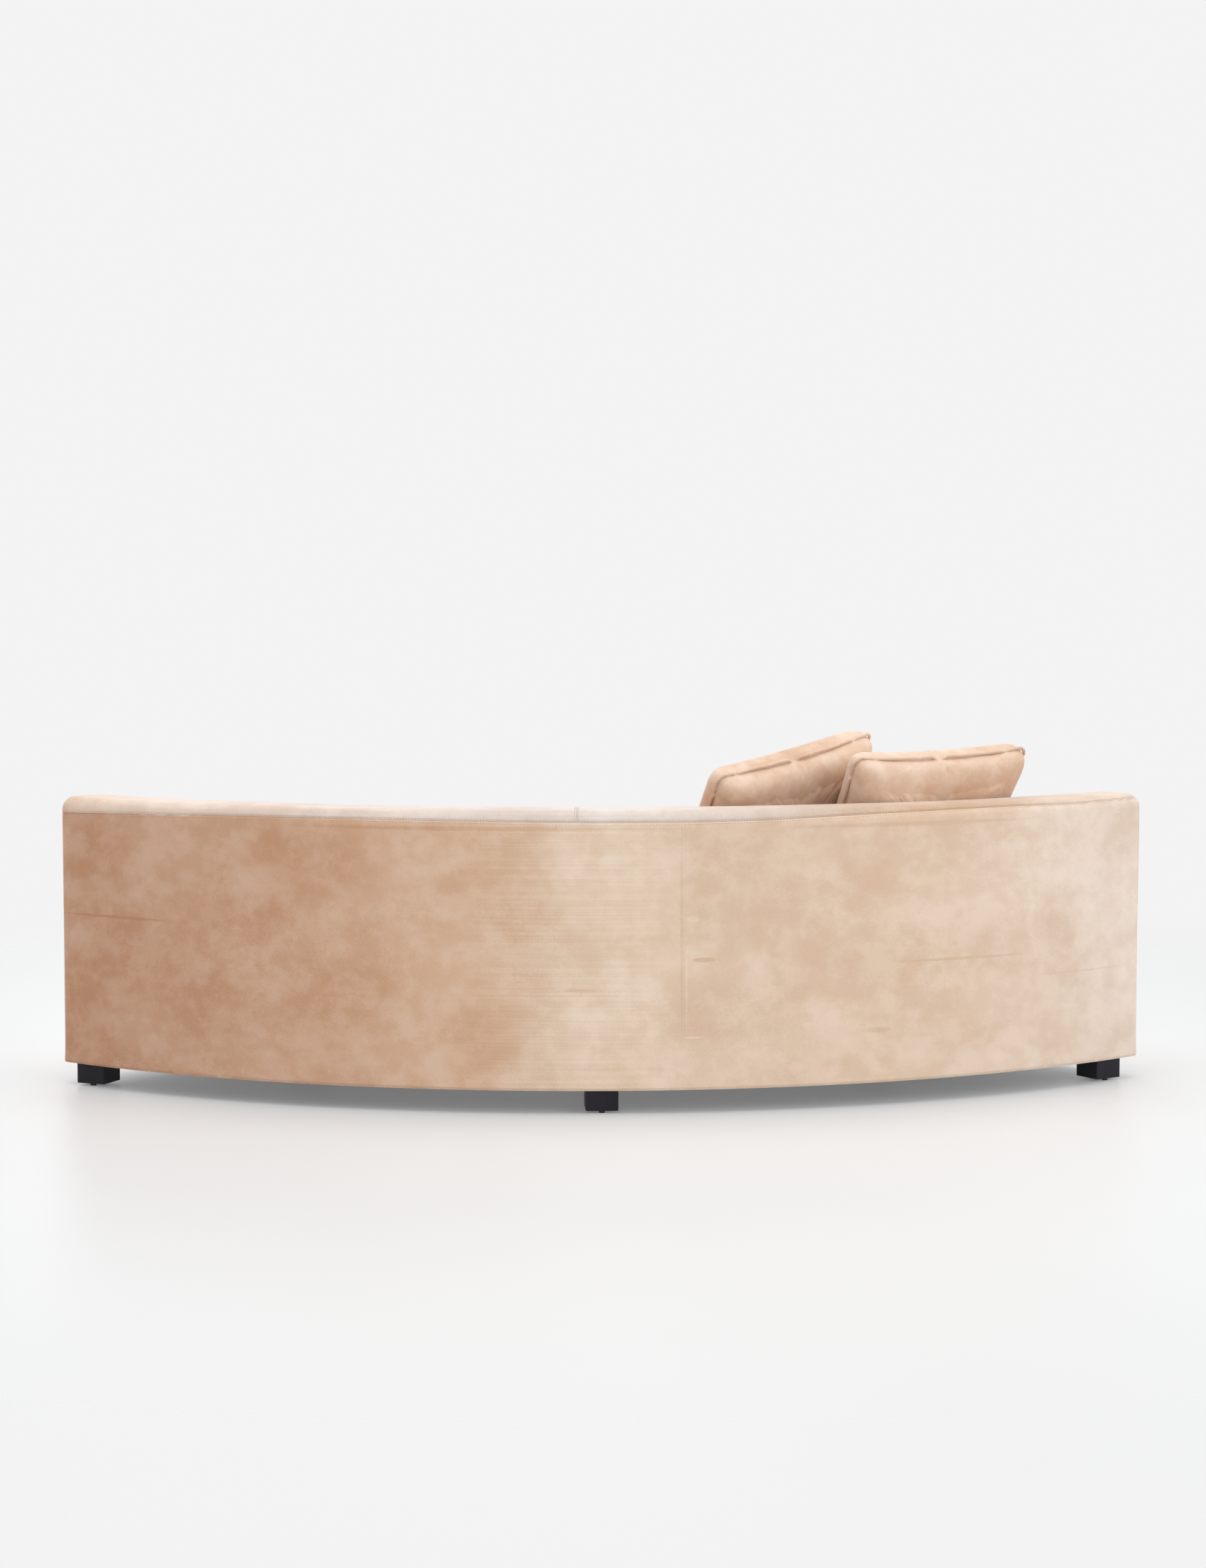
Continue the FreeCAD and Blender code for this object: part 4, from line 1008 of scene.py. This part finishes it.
def velvet(name, tones, marks=(), mottle=1.0):
    finish = Finish(name, Roughness=0.92, Sheen_Weight=0.5, Sheen_Roughness=0.34,
                    Sheen_Tint=(1, 0.93, 0.88, 1))
    finish.shader.inputs["Specular IOR Level"].default_value = 0.12
    place, turn, height = sweep_place(finish)
    ramp = finish.add("ShaderNodeValToRGB")
    ordered = sorted(((math.radians(angle) + 0.7) / 1.4, tone) for angle, tone in tones)
    for where, _ in ordered[2:]:
        ramp.color_ramp.elements.new(where)
    for element, (where, tone) in zip(ramp.color_ramp.elements, ordered):
        element.position, element.color = where, (*tone, 1)
    wander = finish.spread(finish.noise(6.0, 3.0, (1, 1, 0.4), place), 0.3, 0.7, -0.012, 0.012)
    along = finish.math("ADD", finish.math("ADD", turn, 0.7), wander)
    finish.join(finish.math("DIVIDE", along, 1.4), ramp.inputs[0])
    blotch, patch = 0.17 * mottle, 0.20 * mottle
    blotch = finish.spread(finish.noise(3.1, 4.0, (1, 1, 1.5), place), 0.36, 0.64, -blotch, blotch)
    patch = finish.spread(finish.noise(13.0, 5.0, (1, 1, 1.2), place, 0.65), 0.36, 0.66, -patch, patch)
    off_middle = finish.math("ABSOLUTE", finish.math("SUBTRACT", turn, math.radians(3)))
    middle = finish.spread(off_middle, 0.05, 0.14, 1.0, 0.0)
    streak = finish.spread(finish.noise(7.0, 4.0, (0.25, 1, 34), place), 0.42, 0.62, -0.11, 0.11)
    fibre = finish.spread(finish.noise(420.0, 2.0, (1, 1, 1), place), 0.3, 0.7, -0.16, 0.16)
    fine_pile = finish.math("ADD", finish.math("MULTIPLY", streak, middle), fibre)
    lean = finish.math("ADD", finish.math("ADD", blotch, patch), fine_pile)
    # Marks darken or lighten the pile. On the back they include painted shade along the crease and a painted
    # highlight on its ridge.
    for angle, level, wide, tall, amount in marks:
        side = finish.math("DIVIDE", finish.math("SUBTRACT", turn, math.radians(angle)), math.radians(wide))
        rise = finish.math("DIVIDE", finish.math("SUBTRACT", height, level), tall)
        far = finish.math("ADD", finish.math("MULTIPLY", side, side), finish.math("MULTIPLY", rise, rise))
        rough = finish.math("MULTIPLY", finish.noise(60.0, 4.0, (1, 1, 3), place, 0.7), 1.6)
        mark = finish.spread(far, 1.4, 0.2, 0.0, amount)
        lean = finish.math("ADD", lean, finish.math("MULTIPLY", mark, rough))
    share = finish.math("ADD", lean, 0.5, clamp=True)
    darker = finish.mix(1.0, ramp.outputs[0], (0.86, 0.80, 0.76), "MULTIPLY")
    lighter = finish.mix(1.0, ramp.outputs[0], (0.20, 0.18, 0.17), "SCREEN")
    grain = finish.math("ADD", finish.math("MULTIPLY", finish.noise(900, 1.0), 0.6),
                        finish.math("MULTIPLY", finish.noise(60, 3.0, (1, 1, 1), place), 0.8))
    finish.bump(grain, 0.22, 0.0006)
    return finish.colour(finish.mix(share, darker, lighter))


def plain(name, first, second, roughness, scale=40.0, stretch=(1, 1, 1), metallic=0.0, bump=0.1, shine=0.5):
    """A material that wanders between two close colours along a stretched noise, with a light bump."""
    finish = Finish(name, Roughness=roughness, Metallic=metallic)
    finish.shader.inputs["Specular IOR Level"].default_value = shine
    grain = finish.noise(scale, 5.0, stretch)
    finish.bump(grain, bump, 0.0008)
    return finish.colour(finish.mix(finish.spread(grain, 0.3, 0.7), first, second))


def woven(name, first, second, size, roughness=0.85):
    finish = Finish(name, Roughness=roughness)
    waves = []
    for way in ("X", "Y"):
        wave = finish.add("ShaderNodeTexWave", bands_direction=way)
        wave.inputs["Scale"].default_value = size
        finish.join(finish.place, wave.inputs["Vector"])
        waves.append(wave.outputs[1])
    net = finish.math("MULTIPLY", *waves)
    finish.bump(net, 0.35, 0.0006)
    return finish.colour(finish.mix(net, first, second))


# A mark: its angle, height, half width in degrees, half height, and how far the pile lies over. Most are worn
# pile; the narrow upright pair at -4.5 and -4.8 degrees is painted shade along the back's crease and a
# painted highlight on its ridge.
BACK_MARKS = [
    (-5.9, .378, .8, .006, -1.0), (-31.7, .44, 2.3, .08, -.35), (-24, .357, 5.0, .004, -.55),
    (2.0, .305, 1.1, .004, -.6), (34.5, .446, 4.5, .004, -.5), (-17.6, .19, 1.0, .007, -.5),
    (-5.2, .478, .4, .009, .45), (8, .70, 12, .006, -.45), (-20, .70, 9, .006, -.45),
    (-4.5, .45, .12, .26, -.35), (-5.3, .187, .6, .002, .8), (-4.8, .30, .08, .12, .3),
    (-34, .30, 4, .003, -.4), (-28, .66, 2, .02, -.3),
]
BAND_MARKS = [
    (-15, .735, 3.5, .02, -.4), (-26, .735, 3.0, .02, -.4),
    (18, .735, 5, .006, -.3), (30, .738, 5, .008, .3),
]
back_velvet = velvet("velvet_back", BACK_TONES_WITH_PAINTED_LIGHT, BACK_MARKS)
band_velvet = velvet("velvet_top_band", BAND_TONES_WITH_PAINTED_SHEEN, BAND_MARKS)
body_velvet = velvet("velvet_body", PLAIN_TONES)
seat_velvet = velvet("velvet_seat", PLAIN_TONES, mottle=1.2)
pillow_velvet = velvet("velvet_pillow", PLAIN_TONES, mottle=1.5)
thread = plain("thread_tan", (0.55, 0.37, 0.25), (0.42, 0.27, 0.17), 0.6, 300.0)
finishes = {
    "velvet": body_velvet,
    "foam": plain("foam_cream", (0.78, 0.72, 0.55), (0.66, 0.58, 0.40), 0.95, 220.0, bump=0.5),
    "wadding": plain("wadding_white", (0.80, 0.79, 0.76), (0.66, 0.65, 0.62), 0.98, 90.0, bump=0.6),
    "felt": plain("felt_grey", (0.20, 0.20, 0.21), (0.32, 0.32, 0.33), 0.98, 150.0, bump=0.5),
    "webbing": woven("webbing_jute", (0.42, 0.31, 0.18), (0.20, 0.13, 0.07), 120.0),
    "dust_cloth": woven("dust_cloth_black", (0.030, 0.030, 0.032), (0.012, 0.012, 0.013), 260.0),
    "plywood": plain("plywood_birch", (0.66, 0.49, 0.30), (0.50, 0.34, 0.19), 0.62, 9.0, (1.0, 1.0, 18.0)),
    "hardboard": plain("hardboard_brown", (0.24, 0.14, 0.08), (0.16, 0.09, 0.05), 0.7, 120.0),
    "spring_steel": plain("spring_steel_grey", (0.34, 0.34, 0.35), (0.22, 0.21, 0.21), 0.38, 60.0,
                          metallic=1.0),
    "zinc_steel": plain("zinc_steel_bright", (0.66, 0.67, 0.69), (0.52, 0.53, 0.56), 0.34, 80.0,
                        metallic=1.0),
    "clip_plastic": plain("clip_plastic_white", (0.72, 0.72, 0.70), (0.62, 0.62, 0.60), 0.45, 60.0),
    "black_wood": plain("black_lacquered_wood", (0.008, 0.007, 0.012), (0.014, 0.012, 0.019), 0.42, 14.0,
                        (1, 1, 0.12), bump=0.05, shine=0.25),
    "black_plastic": plain("black_plastic_glide", (0.012, 0.012, 0.013), (0.020, 0.020, 0.021), 0.5, 90.0),
    "zip_tape": woven("zip_tape_tan", (0.46, 0.31, 0.20), (0.30, 0.19, 0.12), 300.0),
    "zip_metal": plain("zip_metal_brass", (0.62, 0.48, 0.24), (0.46, 0.34, 0.15), 0.32, 120.0, metallic=1.0),
}
slots = {part["node"]: part["material_slot"] for part in frame["record"]["subparts"]}


def wear(piece, material):
    piece.data.materials.clear()
    piece.data.materials.append(material)


for node, piece in frame["nodes"].items():
    wear(piece, finishes[slots[node]])
dressed = (
    ("stitch", thread), ("top_band", band_velvet), ("outside_back", back_velvet), ("turned_hem", back_velvet),
    ("seat_cushion", seat_velvet), ("pillow", pillow_velvet), ("zip_tape", finishes["zip_tape"]),
    ("zip_teeth", finishes["zip_metal"]), ("dust_cloth", finishes["dust_cloth"]), ("", body_velvet),
)
for piece in [o for o in bpy.data.objects if o.type == "MESH" and o.name not in frame["nodes"]]:
    wear(piece, next(material for word, material in dressed if word in piece.name))
print(len(bpy.data.materials), "materials")

# %% [markdown]
# ## Floor, light and camera
# The picture is a plain studio one: a pale ground with no horizon, a soft shadow under the sofa, and a
# broad light from the side behind it. The floor keeps the shadow, though it lets a little of the
# background through even in the middle, which softens it, and it thins out into the background.
# The camera looks at the back from a little above, through a long lens.

# %% Studio
def studio_floor():
    mesh = bpy.data.meshes.new("studio_floor")
    mesh.from_pydata([(-9, -9, 0), (9, -9, 0), (9, 9, 0), (-9, 9, 0)], [], [(0, 1, 2, 3)])
    floor = bpy.data.objects.new("studio_floor", mesh)
    bpy.context.collection.objects.link(floor)
    finish = Finish("floor_pale", Roughness=0.38)
    finish.shader.inputs["Specular IOR Level"].default_value = 0.25
    shade = finish.mix(finish.noise(3.0, 2.0), (0.80, 0.81, 0.81), (0.82, 0.83, 0.83))
    finish.colour(shade)
    clear = finish.add("ShaderNodeBsdfTransparent")
    away = finish.add("ShaderNodeVectorMath", operation="LENGTH")
    finish.join(finish.place, away.inputs[0])
    blend = finish.add("ShaderNodeMixShader")
    finish.join(finish.spread(away.outputs["Value"], 1.6, 4.5, 0.18, 1.0), blend.inputs[0])
    finish.join(finish.shader.outputs[0], blend.inputs[1])
    finish.join(clear.outputs[0], blend.inputs[2])
    finish.join(blend.outputs[0], finish.tree.nodes["Material Output"].inputs[0])
    mesh.materials.append(finish.material)
    return floor


studio_floor()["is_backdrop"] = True

world = bpy.data.worlds.new("studio")
bpy.context.scene.world = world
world.use_nodes = True
nodes, links = world.node_tree.nodes, world.node_tree.links
light_path = nodes.new("ShaderNodeLightPath")
seen = nodes.new("ShaderNodeMath")
seen.operation, seen.use_clamp = "ADD", True
more = nodes.new("ShaderNodeMath")
more.operation, more.use_clamp = "ADD", True
links.new(light_path.outputs["Is Camera Ray"], seen.inputs[0])
links.new(light_path.outputs["Is Glossy Ray"], seen.inputs[1])
links.new(seen.outputs[0], more.inputs[0])
links.new(light_path.outputs["Is Transmission Ray"], more.inputs[1])
pick = nodes.new("ShaderNodeMix")
pick.data_type = "RGBA"
links.new(more.outputs[0], pick.inputs[0])
pick.inputs[6].default_value = (0.72, 0.72, 0.73, 1)
pick.inputs[7].default_value = (0.896, 0.896, 0.898, 1)
links.new(pick.outputs[2], nodes["Background"].inputs["Color"])


def soft_light(name, place, target, size, power):
    data = bpy.data.lights.new(name, "AREA")
    data.shape, data.size, data.size_y, data.energy = "RECTANGLE", size[0], size[1], power
    light = bpy.data.objects.new(name, data)
    light.location = place
    light.rotation_euler = (Vector(target) - Vector(place)).to_track_quat("-Z", "Y").to_euler()
    bpy.context.collection.objects.link(light)


soft_light("overhead", (0, 0.6, 4.2), (0, 0.2, 0.4), (5, 4), 92)
soft_light("side", (-4.2, 3.6, 2.2), (0, 0.5, 0.4), (2.6, 2.6), 48)
soft_light("front_fill", (0.5, -4.5, 2.6), (0, 0, 0.4), (3.5, 2.5), 45)

data = bpy.data.cameras.new("camera")
data.lens = 72.79
camera = bpy.data.objects.new("camera", data)
bpy.context.collection.objects.link(camera)
ahead = Vector((-0.03577, -0.99936, 0)) * math.cos(0.073) - Vector((0, 0, 1)) * math.sin(0.073)
across_view = Vector((-0.99936, 0.03577, 0))
axes = Matrix((across_view, across_view.cross(ahead), -ahead)).transposed()
camera.matrix_world = Matrix.Translation((0.29449, 8.26688, 1.3715)) @ axes.to_4x4()
bpy.context.scene.camera = camera
bpy.context.scene.view_settings.view_transform = "Standard"

# %% [markdown]
# ## Sizes printed
# The dressed sofa should be as big as the solid one, give or take the pile of the cloth. Both boxes are
# printed, so that anyone can compare them.

# %% Measure and finish
final_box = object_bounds()
for label, box in (("solid", solid_box), ("dressed", final_box)):
    print(label, [round(v, 4) for v in box[1] - box[0]])
